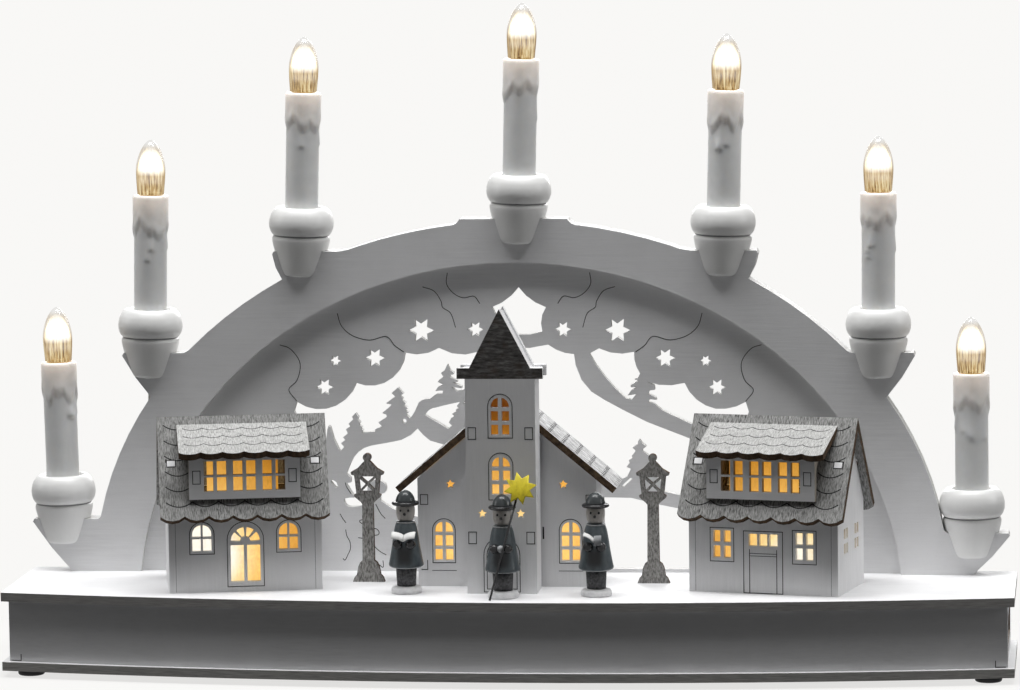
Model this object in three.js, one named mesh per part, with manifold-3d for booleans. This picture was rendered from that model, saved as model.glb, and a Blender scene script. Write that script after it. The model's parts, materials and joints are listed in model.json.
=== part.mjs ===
// A seven-candle arch lamp of painted plywood. A small lit village stands on its box-shaped base.
// Millimetres, +Z up, the front faces -Y. The origin is under the middle of the lamp, on the table.
// Most pieces are laid out on the "stage": its origin is the middle of the back edge of the base's
// top face, so that heights above the base and depths in front of the back edge are read directly.
import * as THREE from "three";
import { mergeVertices } from "three/addons/utils/BufferGeometryUtils.js";
import Module from "manifold-3d";

const wasm = await Module();
wasm.setup();

// Sheet stock and clearances
const PLY = 4; // base and arch
const THIN = 3; // houses, church, lamp posts
const GLUE = 0.2; // film between pieces glued face to face on a slope or in a turned house
const FIT = 0.3; // gap round a piece that goes into or through another
const OVER = 1; // how far a cutting solid runs past what it cuts

// Base box
const BASE = { width: 450, endDepth: 75, midDepth: 96, wallHeight: 27.3, inset: 3, bowSteps: 16 };
const FOOT = { radius: 6, height: 3, chamfer: 0.6, fromEnd: 11.5, fromEdge: 8.5 };
const END_WINDOW = { length: 45, height: 13.5, belowTop: 10.5, middle: 37.5 };

// Supply in the base
const CELL = { radius: 7.1, length: 49.5, nubRadius: 2.6, nub: 1, pitch: 15.5 };
const TRAY = { wall: 1.6, flange: 3, coverThick: 1.6, bayHeight: 15.2, endSlack: 1.5, sideSlack: 0.6 };
const HINGE = { pinRadius: 0.7, pinLength: 1.1, ear: 1.4, swing: 0.5 };
const SWITCH = {
  width: 20, height: 16, plate: 1.6, plateLength: 10, knob: 5, knobHeight: 5, travel: 4, proud: 2.6,
};
const WIRE = {
  radius: 1.1, sides: 6, stepDegrees: 9, runSteps: 28, // the wire itself
  hole: 1.8, groove: 1.6, depth: 1.6, // what it runs through
  busDepth: 16, busDrop: 8, // where it lies under the top plate
};
const CONTACT = { thick: 0.6, past: 2, halfHeight: 4 }; // plate that joins the two cells
const LED = { radius: 2.5, height: 8, hole: 2.9, rise: 10, collar: 2 };

// Arch: three sheets, each bounded by parts of ellipses whose centres lie below the base's top face
const ARCH = {
  outer: { a: 194.4, b: 162.6, drop: 2.6 },
  inner: { a: 174.1, b: 155.6, drop: 14.2 },
  wire: { a: 184, b: 159, drop: 8.4 },
  footHalf: 205.3,
  stepDegrees: 4,
  sheets: 3,
};
// Flat ledges for the candles: height, reach of the tip, and where its underside leaves the arch
const LEDGE = {
  low: { z: 24, tip: 223.2 },
  side: { z: 100.3, tip: 180, root: 167.2 },
  shoulder: { z: 146.5, tip: 110, root: 105.7 },
  crown: { z: 161, half: 24.4, run: 3 },
  nose: 1.2,
  belly: 0.7,
  soft: 2.4,
};
const RIGHT_LOW_DROP = 5; // the lowest ledge on the right lies lower than the one on the left
const TAB = { middle: 196, width: 12 };
const PATTERN_SHIFT = 1.6; // the cut pattern sits a little right of the middle

// Candles: places along the arch, the ledge that each stands on, and its lean to the right
const SEATS = [
  { x: -209.6, ledge: LEDGE.low.z, lean: -0.95 },
  { x: -168, ledge: LEDGE.side.z, lean: 1.3 },
  { x: -97.7, ledge: LEDGE.shoulder.z, lean: 1.9 },
  { x: 1.7, ledge: LEDGE.crown.z, lean: 1.8 },
  { x: 93.8, ledge: LEDGE.shoulder.z, lean: 1.7 },
  { x: 163.4, ledge: LEDGE.side.z, lean: 0.3 },
  { x: 205.1, ledge: LEDGE.low.z - RIGHT_LOW_DROP, lean: -0.2 },
];
const CUP = {
  sides: 14,
  below: 11.5, // how far the cheeks reach down past the ledge
  belt: 14.7, // largest radius
  floor: 5,
  rim: 19.9,
  hole: 2.5, // for the lead
};
// The turned outside of a cup: skirt, groove, bead, belly and rounded rim
CUP.edge = [[8.6, -CUP.below], [12, 0], [13.2, 5.6], [12.4, 6.9], [13.6, 7.9], [CUP.belt, 11.5],
  [CUP.belt - 0.2, 14.6], [13.1, 18], [10.8, CUP.rim]];
const CANDLE = {
  sides: 12, radius: 7.5, collar: 8.1, collarHeight: 15, edge: 1, top: 71.8, wall: 1.1, socket: 14, web: 2,
};
// Bulbs: the cap sits in the bore of the candle; the glass is listed upwards from just over its rim
const BULB = {
  sides: 12, bore: 5.25, capRadius: 4.8, tipRadius: 2.2, tipHeight: 2,
  glass: [[6.3, 0.3], [6.7, 9], [6.3, 13], [5, 18], [3, 22.4], [1.3, 24.6], [0, 25.2]],
};

// Houses, in their own frame: x along the front, y back from the front wall, z up
const HOUSE = {
  middle: 115.1, front: 68, turn: 12.5, width: 68, depth: 43, ridge: 76.6, pitch: 56.6,
  overhang: 7, verge: 3.6, scallops: 7, scallopDrop: 2.2, pegHeight: 57, peg: 3.2,
};
HOUSE.roofHalf = HOUSE.width / 2 + HOUSE.verge;
const DORMER = {
  half: 24.65, out: 3.5, bottom: 42.2, cheek: 21.3, roofHalf: 29, eaveOut: 7, eaveTop: 62.9,
  pitch: 21.4, scallops: 6, scallopDrop: 1.8, openHalf: 18, openLow: 47, openHigh: 60,
};
const PANES = { wide: 4.2, high: 6.3, pitch: 5.8, pairs: 3, pairPitch: 13, rows: 2, gap: 0.9, sill: 3.5 };
const LEFT_WINDOW = { middles: [-19.3, 19.2], half: 4.25, low: 18.5, high: 30.4, rows: 2, bar: 0.9 };
const LEFT_DOOR = { half: 6.6, low: 4.5, high: 28.9, bar: 1.4, hub: 2.4, rays: [[4, 42], [52, 84]] };
const RIGHT_WINDOW = { middles: [-18.8, 18.8], half: 4, bar: 1.5, rows: [[15.6, 20.9], [22.4, 27.7]] };
const RIGHT_TRANSOM = { columns: [[-6.6, -2.7], [-1.95, 1.95], [2.7, 6.6]], rows: [[21.2, 26.6]] };
const SCALLOP_STEP = 24; // degrees between the points of a lobe
const HEAD_STEP = 25; // and of an arched window head
const GABLE_WINDOW = { middles: [13.4, 31], half: 3.2, bar: 1.4, rows: [[17.4, 22], [24, 28.6]] };

// Church
const TOWER = {
  half: 15.5, front: 71.4, depth: 17.1, height: 95.6,
  upperWindow: { middles: [-0.1], half: 4.1, low: 70.8, high: 87.4, rows: 3, bar: 1.6 },
  lowerWindow: { middles: [0], half: 4.1, low: 44.4, high: 61, rows: 3, bar: 1.6 },
  stars: { x: 8.5, z: 35.7, radius: 2.2 },
};
const CHURCH_STAR = { waist: 0.48, turn: 90 };
const SPIRE = {
  earHalf: 19, earHeight: 4.7, shoulderHalf: 13.5, apex: 30.7, // front and back plates
  stripThick: 2.4, stripInset: 1.5, stripDrop: 1, stripShoulder: 12.9, weld: 0.5, // strips between them
};
const NAVE = {
  half: 40, front: 50.5, depth: 25, pitch: 40, apex: 86.4, eaveHalf: 49.5,
  overhang: 3.5, roofPast: 2.5, roofThick: 3, shingles: 7, sawCut: 0.7, sawDepth: 1.6,
  windows: { middles: [-28.4, 28.4], half: 4.1, low: 11.8, high: 29.2, rows: 3, bar: 1.3 },
  stars: { x: 25.3, z: 45.9, radius: 2.3 },
};

// Lamp posts, flat sheets: the right half of the outline is listed upwards from the foot
const LAMP = {
  x: 64.2, y: 39.5, knobHeight: 56.3, knobRadius: 1.85, knobAbove: 1.5,
  paneLow: 41, paneHigh: 47.8, lowHalf: 3.3, highHalf: 3.8, bar: 0.75,
};
LAMP.edge = [
  [7.25, 0], [6.4, 2.2], [5.4, 3.2], [4.7, 6.9], [3.9, 8.7], [2.7, 9.6], [2.45, 35.3], [3.1, 36.2],
  [5.9, 38.6], [6.2, 39.4], [5, 39.9], [5.9, 48.2], [7.2, 48.6], [7.5, 49.6], [4.4, 51.4], [2, 54],
  [1.2, LAMP.knobHeight - LAMP.knobAbove],
];

// Turned figures: foot, coat, neck, head, brim and cap
const FIGURE = {
  sides: 12,
  edge: [[0, 0], [6.9, 0], [6.5, 2.6], [4.3, 3.4], [4.9, 11.6], [7.8, 12.4], [5.9, 23], [4.3, 31.4],
    [3.2, 32.6], [4.15, 34.6], [4.1, 38.7], [5.9, 40], [3.9, 41.4], [3.3, 44.2], [0, 46]],
  hand: { x: 2.9, y: -6.6, z: 22.6, radius: 2, sides: 6 },
  page: { wide: 5.6, high: 4.4, thick: 1, ahead: 1.6, above: 1.2, tip: 25 },
  opened: { figure_left: 18, figure_right: 30 }, // how far each page of the held book is turned back
};
const FIGURES = [
  { name: "figure_left", x: -43, y: -68.6 },
  { name: "figure_middle", x: 1.5, y: -80.8 },
  { name: "figure_right", x: 42, y: -74 },
];
const STAR_POLE = {
  foot: [-3.3, -91.2, 0.3], top: [8.75, -88, 46], radius: 0.5,
  star: [10.3, 49.4], starRadius: 7.2, tips: 8, waist: 0.62, turn: 12, thick: 2,
};

// Sizes worked out from the ones above
const baseHeight = BASE.wallHeight + 2 * PLY;
const topZ = FOOT.height + baseHeight;
const archDepth = ARCH.sheets * PLY;
const seatY = -archDepth / 2;
const cupBehind = CUP.belt + seatY; // the cups reach this far behind the base's back edge
const stageY = (BASE.midDepth - cupBehind) / 2;
const bow = BASE.midDepth - BASE.endDepth;
const bowRadius = ((BASE.width / 2) ** 2 + bow ** 2) / (2 * bow);
const bowCentreY = bowRadius - BASE.midDepth;
const radians = THREE.MathUtils.degToRad;

// Solids: three.js makes the shapes, and these join and cut them
function solidOf(geometry) {
  const bare = geometry.index ? geometry.toNonIndexed() : geometry.clone();
  bare.deleteAttribute("normal");
  bare.deleteAttribute("uv");
  const merged = mergeVertices(bare, 1e-4);
  const corners = merged.index.array;
  const triVerts = [];
  for (let i = 0; i < corners.length; i += 3) {
    const [a, b, c] = corners.slice(i, i + 3);
    if (a !== b && b !== c && c !== a) triVerts.push(a, b, c);
  }
  const mesh = new wasm.Mesh({
    numProp: 3,
    vertProperties: merged.attributes.position.array,
    triVerts: new Uint32Array(triVerts),
  });
  return new wasm.Manifold(mesh);
}

function geometryOf(solid) {
  const { vertProperties, triVerts, numProp } = solid.getMesh();
  const positions = new Float32Array((vertProperties.length / numProp) * 3);
  for (let i = 0; i < positions.length / 3; i += 1) {
    positions.set(vertProperties.subarray(i * numProp, i * numProp + 3), i * 3);
  }
  const shared = new THREE.BufferGeometry();
  shared.setAttribute("position", new THREE.BufferAttribute(positions, 3));
  shared.setIndex(new THREE.BufferAttribute(triVerts, 1));
  const flat = shared.toNonIndexed();
  flat.computeVertexNormals();
  return flat;
}

const join = (...pieces) => geometryOf(pieces.map(solidOf).reduce((a, b) => a.add(b)));
const cut = (piece, ...cutters) =>
  geometryOf(cutters.map(solidOf).reduce((a, b) => a.subtract(b), solidOf(piece)));

// A box between two corners
function block(x0, x1, y0, y1, z0, z1) {
  const box = new THREE.BoxGeometry(x1 - x0, y1 - y0, z1 - z0);
  return box.translate((x0 + x1) / 2, (y0 + y1) / 2, (z0 + z1) / 2);
}

function sheetOf(outline, thickness) {
  return new THREE.ExtrudeGeometry(new THREE.Shape(outline), { depth: thickness, bevelEnabled: false });
}

// A sheet standing up: its outline is drawn in x and z, its thickness runs back from yFront
function upright(outline, yFront, thickness) {
  return sheetOf(outline, thickness).rotateX(Math.PI / 2).translate(0, yFront + thickness, 0);
}

// A sheet lying flat: its outline is drawn in x and y
function level(outline, z, thickness) {
  return sheetOf(outline, thickness).translate(0, 0, z);
}

// A sheet seen from the end: its outline is drawn in y and z, and it runs from x0 to x1
function endwise(outline, x0, x1) {
  return sheetOf(outline, x1 - x0).rotateX(Math.PI / 2).rotateZ(Math.PI / 2).translate(x0, 0, 0);
}

// A turned piece about Z from [radius, height] pairs, listed upwards on the outside
function turned(profile, sides) {
  const lathe = new THREE.LatheGeometry(points(profile), sides);
  return lathe.rotateX(Math.PI / 2);
}

function disc(radius, z0, z1, sides = 16) {
  return turned([[0, z0], [radius, z0], [radius, z1], [0, z1]], sides);
}

function ball(radius, sides, x, y, z) {
  const rings = Math.ceil(sides * 0.6);
  return new THREE.SphereGeometry(radius, sides, rings).rotateX(Math.PI / 2).translate(x, y, z);
}

// A round bar between two places
function bar(from, to, radius, sides) {
  const a = new THREE.Vector3(...from);
  const b = new THREE.Vector3(...to);
  const rod = new THREE.CylinderGeometry(radius, radius, a.distanceTo(b), sides);
  const standing = new THREE.Vector3(0, 1, 0);
  const turn = new THREE.Quaternion().setFromUnitVectors(standing, b.clone().sub(a).normalize());
  const middle = a.add(b).multiplyScalar(0.5);
  return rod.applyQuaternion(turn).translate(middle.x, middle.y, middle.z);
}

// Outlines
function points(pairs) {
  return pairs.map(([x, y]) => new THREE.Vector2(x, y));
}

const arc = (via, to) => ({ via, to });

// Turns corners and arcs (each through a middle place to an end) into the points of an outline
function traced(steps, stepDegrees = 18) {
  const out = [];
  for (const step of steps) {
    if (Array.isArray(step)) out.push(step);
    else out.push(...arcPoints(out[out.length - 1], step.via, step.to, stepDegrees));
  }
  return points(out);
}

function arcPoints([ax, ay], [bx, by], [cx, cy], stepDegrees) {
  const d = 2 * (ax * (by - cy) + bx * (cy - ay) + cx * (ay - by));
  const [a2, b2, c2] = [ax * ax + ay * ay, bx * bx + by * by, cx * cx + cy * cy];
  const ox = (a2 * (by - cy) + b2 * (cy - ay) + c2 * (ay - by)) / d;
  const oy = (a2 * (cx - bx) + b2 * (ax - cx) + c2 * (bx - ax)) / d;
  const full = 2 * Math.PI;
  const start = Math.atan2(ay - oy, ax - ox);
  const wrap = (angle) => (((angle - start) % full) + full) % full;
  const via = wrap(Math.atan2(by - oy, bx - ox));
  const end = wrap(Math.atan2(cy - oy, cx - ox));
  const sweep = via < end ? end : end - full;
  const count = Math.max(2, Math.ceil(Math.abs(sweep) / radians(stepDegrees)));
  const radius = Math.hypot(ax - ox, ay - oy);
  const out = [];
  for (let i = 1; i < count; i += 1) {
    const angle = start + (sweep * i) / count;
    out.push([ox + radius * Math.cos(angle), oy + radius * Math.sin(angle)]);
  }
  out.push([cx, cy]);
  return out;
}

const mirrored = (pairs) => pairs.map(([x, y]) => [-x, y]).reverse();

function star(x, y, radius, tips, inner, turnDegrees) {
  const out = [];
  for (let i = 0; i < 2 * tips; i += 1) {
    const r = i % 2 ? radius * inner : radius;
    const angle = radians(turnDegrees) + (i * Math.PI) / tips;
    out.push([x + r * Math.cos(angle), y + r * Math.sin(angle)]);
  }
  return points(out);
}

const rectangle = (x0, x1, y0, y1) => points([[x0, y0], [x1, y0], [x1, y1], [x0, y1]]);

// Materials: painted and bare wood, glass, metal and plastic as they show in the lamp
function finish(color, roughness, metalness = 0, more = {}) {
  return new THREE.MeshStandardMaterial({ color, roughness, metalness, ...more });
}

const finishes = {
  whitePaint: () => finish(0xe9ebec, 0.62),
  greyRoof: () => finish(0x8d9194, 0.85),
  spireRoof: () => finish(0x54585b, 0.85),
  gloss: () => finish(0xf1f2f2, 0.35),
  wax: () => finish(0xf3f2ee, 0.45),
  glow: () => finish(0xffe2ad, 0.1, 0, { emissive: 0xffb347, emissiveIntensity: 0.8 }),
  lampPost: () => finish(0x4b4a46, 0.8),
  figure: () => finish(0x3d454f, 0.35),
  star: () => finish(0xe6c81e, 0.5),
  rubber: () => finish(0x1c1c1d, 0.8),
  blackPlastic: () => finish(0x222325, 0.5),
  cell: () => finish(0x9da2a8, 0.35, 0.7),
  wire: () => finish(0xd9d6cc, 0.5),
};

// A named piece
function piece(name, geometry, material) {
  const mesh = new THREE.Mesh(geometry, material());
  mesh.name = name;
  return mesh;
}

function group(...children) {
  const made = new THREE.Group();
  made.add(...children);
  return made;
}

// Base box
const frontAt = (x, inset) => bowCentreY - Math.sqrt((bowRadius - inset) ** 2 - x ** 2);

function bowedEdge(half, inset) {
  const out = [];
  for (let i = 0; i <= BASE.bowSteps; i += 1) {
    const x = -half + (2 * half * i) / BASE.bowSteps;
    out.push([x, frontAt(x, inset)]);
  }
  return out;
}

function basePlate(z) {
  const half = BASE.width / 2;
  return level(points([...bowedEdge(half, 0), [half, 0], [-half, 0]]), z, PLY);
}

// Where the tray, its bay and the switch lie: x and y ranges on the stage, heights below the top face
const wallOut = BASE.width / 2 - BASE.inset;
const wallIn = wallOut - PLY;
const floorZ = -baseHeight;
const bay = {};
bay.x1 = wallIn - FIT - SWITCH.plate - 2 * TRAY.wall - 2 * FIT;
bay.x0 = bay.x1 - CELL.length - CELL.nub - TRAY.endSlack;
bay.half = CELL.pitch / 2 + CELL.radius + TRAY.sideSlack;
bay.y0 = -END_WINDOW.middle - bay.half;
bay.y1 = -END_WINDOW.middle + bay.half;
bay.z0 = floorZ + TRAY.coverThick + HINGE.swing;
bay.z1 = bay.z0 + TRAY.bayHeight;
const trayOut = {
  x0: bay.x0 - TRAY.wall, x1: bay.x1 + TRAY.wall, y0: bay.y0 - TRAY.wall, y1: bay.y1 + TRAY.wall,
};
const cellZ = bay.z1 - FIT - CELL.radius;
const windowZ = [-END_WINDOW.belowTop - END_WINDOW.height, -END_WINDOW.belowTop];
const switchZ = (windowZ[0] + windowZ[1]) / 2;
const chamber = { x0: bay.x1, x1: wallIn - FIT };
const sliderX = { x1: chamber.x1 - TRAY.wall - FIT };
sliderX.x0 = sliderX.x1 - SWITCH.plate;
const cover = { x0: trayOut.x0 + GLUE, x1: trayOut.x1, y0: trayOut.y0, y1: trayOut.y1 };
const hingeAt = { x: cover.x0 + TRAY.coverThick / 2, z: floorZ + TRAY.coverThick / 2 };

// The two ears of the tray that carry the cover's pins, or, with a gap, the room that they need
function earBlocks(gap) {
  const half = TRAY.wall + gap;
  const inner = FIT - gap;
  const thick = HINGE.ear + 2 * gap;
  const ranges = [[cover.y0 - inner - thick, cover.y0 - inner],
    [cover.y1 + inner, cover.y1 + inner + thick]];
  const [low, high] = [floorZ + FIT - gap, floorZ + PLY + TRAY.wall];
  return ranges.map(([y0, y1]) => block(hingeAt.x - half, hingeAt.x + half, y0, y1, low, high));
}

function baseTop() {
  const holes = ledPlaces().map(([x, y]) => disc(LED.hole, -PLY - OVER, OVER, 10).translate(x, y, 0));
  const wireHole = disc(WIRE.hole, -PLY - OVER, OVER, 8).translate(wireFootX(), wireY, 0);
  const slots = [-1, 1].map((side) => tab(side, FIT, OVER));
  return cut(basePlate(-PLY), ...holes, wireHole, ...slots);
}

function baseBottom() {
  const opening = block(trayOut.x0 - FIT, trayOut.x1 + FIT, trayOut.y0 - FIT, trayOut.y1 + FIT,
    floorZ - OVER, floorZ + PLY + OVER);
  const lowered = earBlocks(FIT).map((ear) => ear.translate(0, 0, -2 * FIT));
  return cut(basePlate(floorZ), opening, ...earBlocks(FIT), ...lowered);
}

function baseFront() {
  const outer = bowedEdge(wallOut, BASE.inset);
  const inner = bowedEdge(wallOut, BASE.inset + PLY).reverse();
  return level(points([...outer, ...inner]), floorZ + PLY, BASE.wallHeight);
}

function baseBack() {
  const wall = block(-wallOut, wallOut, -BASE.inset - PLY, -BASE.inset, floorZ + PLY, -PLY);
  const reach = WIRE.radius + FIT;
  const notch = block(wireFootX() - reach, wireFootX() + reach, -BASE.inset - PLY - OVER,
    -BASE.inset + OVER,
    -WIRE.busDrop - reach, -PLY + OVER);
  return cut(wall, notch);
}

function baseEnd(side) {
  const front = frontAt(wallOut, BASE.inset + PLY) + FIT;
  const back = -BASE.inset - PLY - GLUE;
  const [x0, x1] = side < 0 ? [-wallOut, -wallIn] : [wallIn, wallOut];
  const wall = block(x0, x1, front, back, floorZ + PLY, -PLY);
  if (side < 0) return wall;
  const { length, middle } = END_WINDOW;
  return cut(wall, block(wallIn - OVER, wallOut + OVER, -middle - length / 2, -middle + length / 2,
    ...windowZ));
}

function foot(x, y) {
  const { radius, height, chamfer } = FOOT;
  const shape = turned([[0, 0], [radius - chamfer, 0], [radius, chamfer], [radius, height],
    [0, height]], 24);
  return shape.translate(x, y, floorZ - height);
}

function feet() {
  const x = BASE.width / 2 - FOOT.fromEnd;
  const frontY = -BASE.endDepth + FOOT.fromEdge - FIT;
  const backY = -FOOT.fromEdge;
  return [
    piece("foot_front_left", foot(-x, frontY), finishes.rubber),
    piece("foot_front_right", foot(x, frontY), finishes.rubber),
    piece("foot_back_left", foot(-x, backY), finishes.rubber),
    piece("foot_back_right", foot(x, backY), finishes.rubber),
  ];
}

function baseBox() {
  return group(
    piece("base_top", baseTop(), finishes.whitePaint),
    piece("base_bottom", baseBottom(), finishes.whitePaint),
    piece("base_front", baseFront(), finishes.whitePaint),
    piece("base_back", baseBack(), finishes.whitePaint),
    piece("base_end_left", baseEnd(-1), finishes.whitePaint),
    piece("base_end_right", baseEnd(1), finishes.whitePaint),
    ...feet(),
  );
}

// Battery tray: a bay open at the bottom, a flange that rests on the bottom plate, and the switch
// chamber on its end, whose slot looks out of the window
function batteryTray() {
  const { wall, flange } = TRAY;
  const { x0, x1, y0, y1 } = trayOut;
  const shell = block(x0, x1, y0, y1, bay.z0, bay.z1 + wall);
  const rim = block(x0 - flange, x1, y0 - flange, y1 + flange, floorZ + PLY, floorZ + PLY + wall);
  const bayRoom = block(bay.x0, bay.x1, bay.y0, bay.y1, floorZ - OVER, bay.z1);
  const y = -END_WINDOW.middle;
  const leadHole = bar([x0 - OVER, y, cellZ], [bay.x0 + OVER, y, cellZ], WIRE.hole, WIRE.sides);
  const pinHole = hingeBar(2 * flange + FIT, HINGE.pinRadius + FIT);
  return cut(join(shell, rim, switchChamber(), ...earBlocks(0)), bayRoom, ...switchRoom(), leadHole,
    pinHole);
}

function switchChamber() {
  const [y, half] = [-END_WINDOW.middle, SWITCH.width / 2];
  return block(chamber.x0, chamber.x1, y - half, y + half, floorZ + PLY, switchZ + SWITCH.height / 2);
}

// The track of the slider, and the slot that its knob looks out of
function switchRoom() {
  const { width, height, knob, knobHeight, travel } = SWITCH;
  const y = -END_WINDOW.middle;
  const [trackHalf, trackHigh] = [width / 2 - TRAY.wall, height / 2 - TRAY.wall];
  const [slotHalf, slotHigh] = [(knob + travel) / 2 + FIT, knobHeight / 2 + FIT];
  return [
    block(sliderX.x0 - FIT, sliderX.x1 + FIT, y - trackHalf, y + trackHalf, switchZ - trackHigh,
      switchZ + trackHigh),
    block(sliderX.x1, chamber.x1 + OVER, y - slotHalf, y + slotHalf, switchZ - slotHigh,
      switchZ + slotHigh),
  ];
}

// A bar along the axis of the cover's hinge, past both edges of the cover
function hingeBar(past, radius) {
  return bar([hingeAt.x, cover.y0 - past, hingeAt.z], [hingeAt.x, cover.y1 + past, hingeAt.z], radius, 8);
}

function batteryCover() {
  const lid = block(cover.x0, cover.x1, cover.y0, cover.y1, floorZ, floorZ + TRAY.coverThick);
  return join(lid, hingeBar(HINGE.pinLength, HINGE.pinRadius));
}

function switchSlider() {
  const y = -END_WINDOW.middle - SWITCH.travel / 2;
  const half = SWITCH.plateLength / 2;
  const high = SWITCH.height / 2 - TRAY.wall - FIT;
  const plate = block(sliderX.x0, sliderX.x1, y - half, y + half, switchZ - high, switchZ + high);
  const knob = block(sliderX.x0, chamber.x1 + SWITCH.proud, y - SWITCH.knob / 2, y + SWITCH.knob / 2,
    switchZ - SWITCH.knobHeight / 2, switchZ + SWITCH.knobHeight / 2);
  return join(plate, knob);
}

function cell(side) {
  const { radius, length, nubRadius, nub } = CELL;
  const shape = turned([[0, 0], [radius, 0], [radius, length], [nubRadius, length],
    [nubRadius, length + nub], [0, length + nub]], 16);
  const lying = shape.rotateY((-side * Math.PI) / 2).translate(side < 0 ? 0 : length + nub, 0, 0);
  return lying.translate(bay.x0 + TRAY.endSlack - FIT, -END_WINDOW.middle + (side * CELL.pitch) / 2, cellZ);
}

function supply() {
  return group(
    piece("battery_tray", batteryTray(), finishes.blackPlastic),
    piece("battery_cover", batteryCover(), finishes.blackPlastic),
    piece("switch_slider", switchSlider(), finishes.gloss),
    piece("aa_cell_1", cell(-1), finishes.cell),
    piece("aa_cell_2", cell(1), finishes.cell),
  );
}

// Arch outlines
const ellipseX = ({ a, b, drop }, z) => a * Math.sqrt(1 - ((z + drop) / b) ** 2);
const ellipseZ = ({ a, b, drop }, x) => b * Math.sqrt(1 - (x / a) ** 2) - drop;

// Places along the right-hand side of an ellipse from one height up to another
function ellipseRun(ellipse, fromZ, toZ, stepDegrees = ARCH.stepDegrees) {
  const from = Math.asin((fromZ + ellipse.drop) / ellipse.b);
  const to = Math.asin((toZ + ellipse.drop) / ellipse.b);
  const count = Math.max(2, Math.ceil(Math.abs(to - from) / radians(stepDegrees)));
  const out = [];
  for (let i = 0; i <= count; i += 1) {
    const t = from + ((to - from) * i) / count;
    out.push([ellipse.a * Math.cos(t), ellipse.b * Math.sin(t) - ellipse.drop]);
  }
  return out;
}

// A ledge seen from the front: a bellied underside, a small nose, a flat top and a soft inner corner
function ledgeSteps([rootX, rootZ], z, tip) {
  const noseZ = z - LEDGE.nose;
  const run = [tip - rootX, noseZ - rootZ];
  const length = Math.hypot(...run);
  const bulge = LEDGE.belly / length;
  const via = [(rootX + tip) / 2 + bulge * run[1], (rootZ + noseZ) / 2 - bulge * run[0]];
  const corner = ellipseX(ARCH.outer, z);
  const above = z + LEDGE.soft;
  const aboveX = ellipseX(ARCH.outer, above);
  const flat = corner + LEDGE.soft;
  return {
    steps: [[rootX, rootZ], arc(via, [tip, noseZ]), [tip - LEDGE.nose / 2, z], [flat, z],
      arc([(flat + 2 * corner + aboveX) / 4, z + LEDGE.soft * 0.22], [aboveX, above])],
    above,
  };
}

// The right-hand edge of the arch, from the foot up to the middle of the crown
function archSide(lowDrop) {
  const outer = ARCH.outer;
  const rootOf = (x) => [x, ellipseZ(outer, x)];
  const low = ledgeSteps([ARCH.footHalf, 0], LEDGE.low.z - lowDrop, LEDGE.low.tip - lowDrop * 0.25);
  const side = ledgeSteps(rootOf(LEDGE.side.root), LEDGE.side.z, LEDGE.side.tip);
  const shoulder = ledgeSteps(rootOf(LEDGE.shoulder.root), LEDGE.shoulder.z, LEDGE.shoulder.tip);
  const { half, run, z } = LEDGE.crown;
  const crownFoot = half + run;
  return [
    ...low.steps,
    ...ellipseRun(outer, low.above, rootOf(LEDGE.side.root)[1]).slice(1, -1),
    ...side.steps,
    ...ellipseRun(outer, side.above, rootOf(LEDGE.shoulder.root)[1]).slice(1, -1),
    ...shoulder.steps,
    ...ellipseRun(outer, shoulder.above, ellipseZ(outer, crownFoot)).slice(1),
    arc([half + run * 0.45, ellipseZ(outer, crownFoot) + run * 0.3], [half, z]),
  ];
}

function archEdge() {
  const right = traced(archSide(RIGHT_LOW_DROP)).map((p) => [p.x, p.y]);
  const left = traced(archSide(0)).map((p) => [p.x, p.y]);
  return [...right, ...mirrored(left)];
}

function archRing(yFront) {
  const inner = ellipseRun(ARCH.inner, 0, ARCH.inner.b - ARCH.inner.drop);
  const inside = [...inner, ...mirrored(inner).slice(1)].reverse();
  return upright(points([...archEdge(), ...inside]), yFront, PLY);
}

function tab(side, gap, past) {
  const x = side * TAB.middle;
  const half = TAB.width / 2 + gap;
  return block(x - half, x + half, -2 * PLY - gap, -PLY + gap, -PLY - past, past + (past ? 0 : GLUE));
}

// Silhouette panel: what is cut out of it, in its own frame before the shift
const cloudHem = {
  outerCusp: [-102.2, 77.7], dip1: [-90.7, 74.2], cusp1: [-74.7, 86.3], dip2: [-60, 87.2],
  cusp2: [-52.2, 100.1], dip3: [-45.4, 99.3], cusp3: [-36.5, 102.2], dip4: [-24.5, 99.2],
  cusp4: [-13.1, 103.7],
};
const across = ([x, z]) => [-x, z];

const firNear = [
  [-82.8, 54.9], [-80.8, 56.9], [-82.2, 58.6], [-80.2, 60.2], [-81.2, 61.3], [-79, 63.2], [-79.8, 65],
  [-77.8, 66.4], [-78.6, 67.6], [-76.4, 69.6], [-76.9, 70.8], [-75.3, 72.5], [-73.9, 70.6], [-74.4, 69.6],
  [-73.2, 68.1], [-73.9, 67], [-72.4, 66.2], [-73, 65.4], [-71.8, 64.6], [-72.8, 63.5],
];
const firTall = [
  [-66.4, 64], [-66.4, 65], [-63.2, 66.4], [-64.9, 68.2], [-61, 70.6], [-61.2, 71.8], [-63.1, 72.5],
  [-59.8, 75.2], [-58.7, 76.4], [-61.3, 76.9], [-57, 80.1], [-58.6, 81.6], [-55.7, 84.2], [-53.2, 81.3],
  [-54.9, 80.4], [-53.4, 79.3], [-54, 78.4], [-52.1, 76.9], [-53.3, 76], [-51.3, 74.7], [-52.6, 73.4],
  [-50.7, 72.9], [-52.3, 71.9], [-50.5, 70.1],
];
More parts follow.
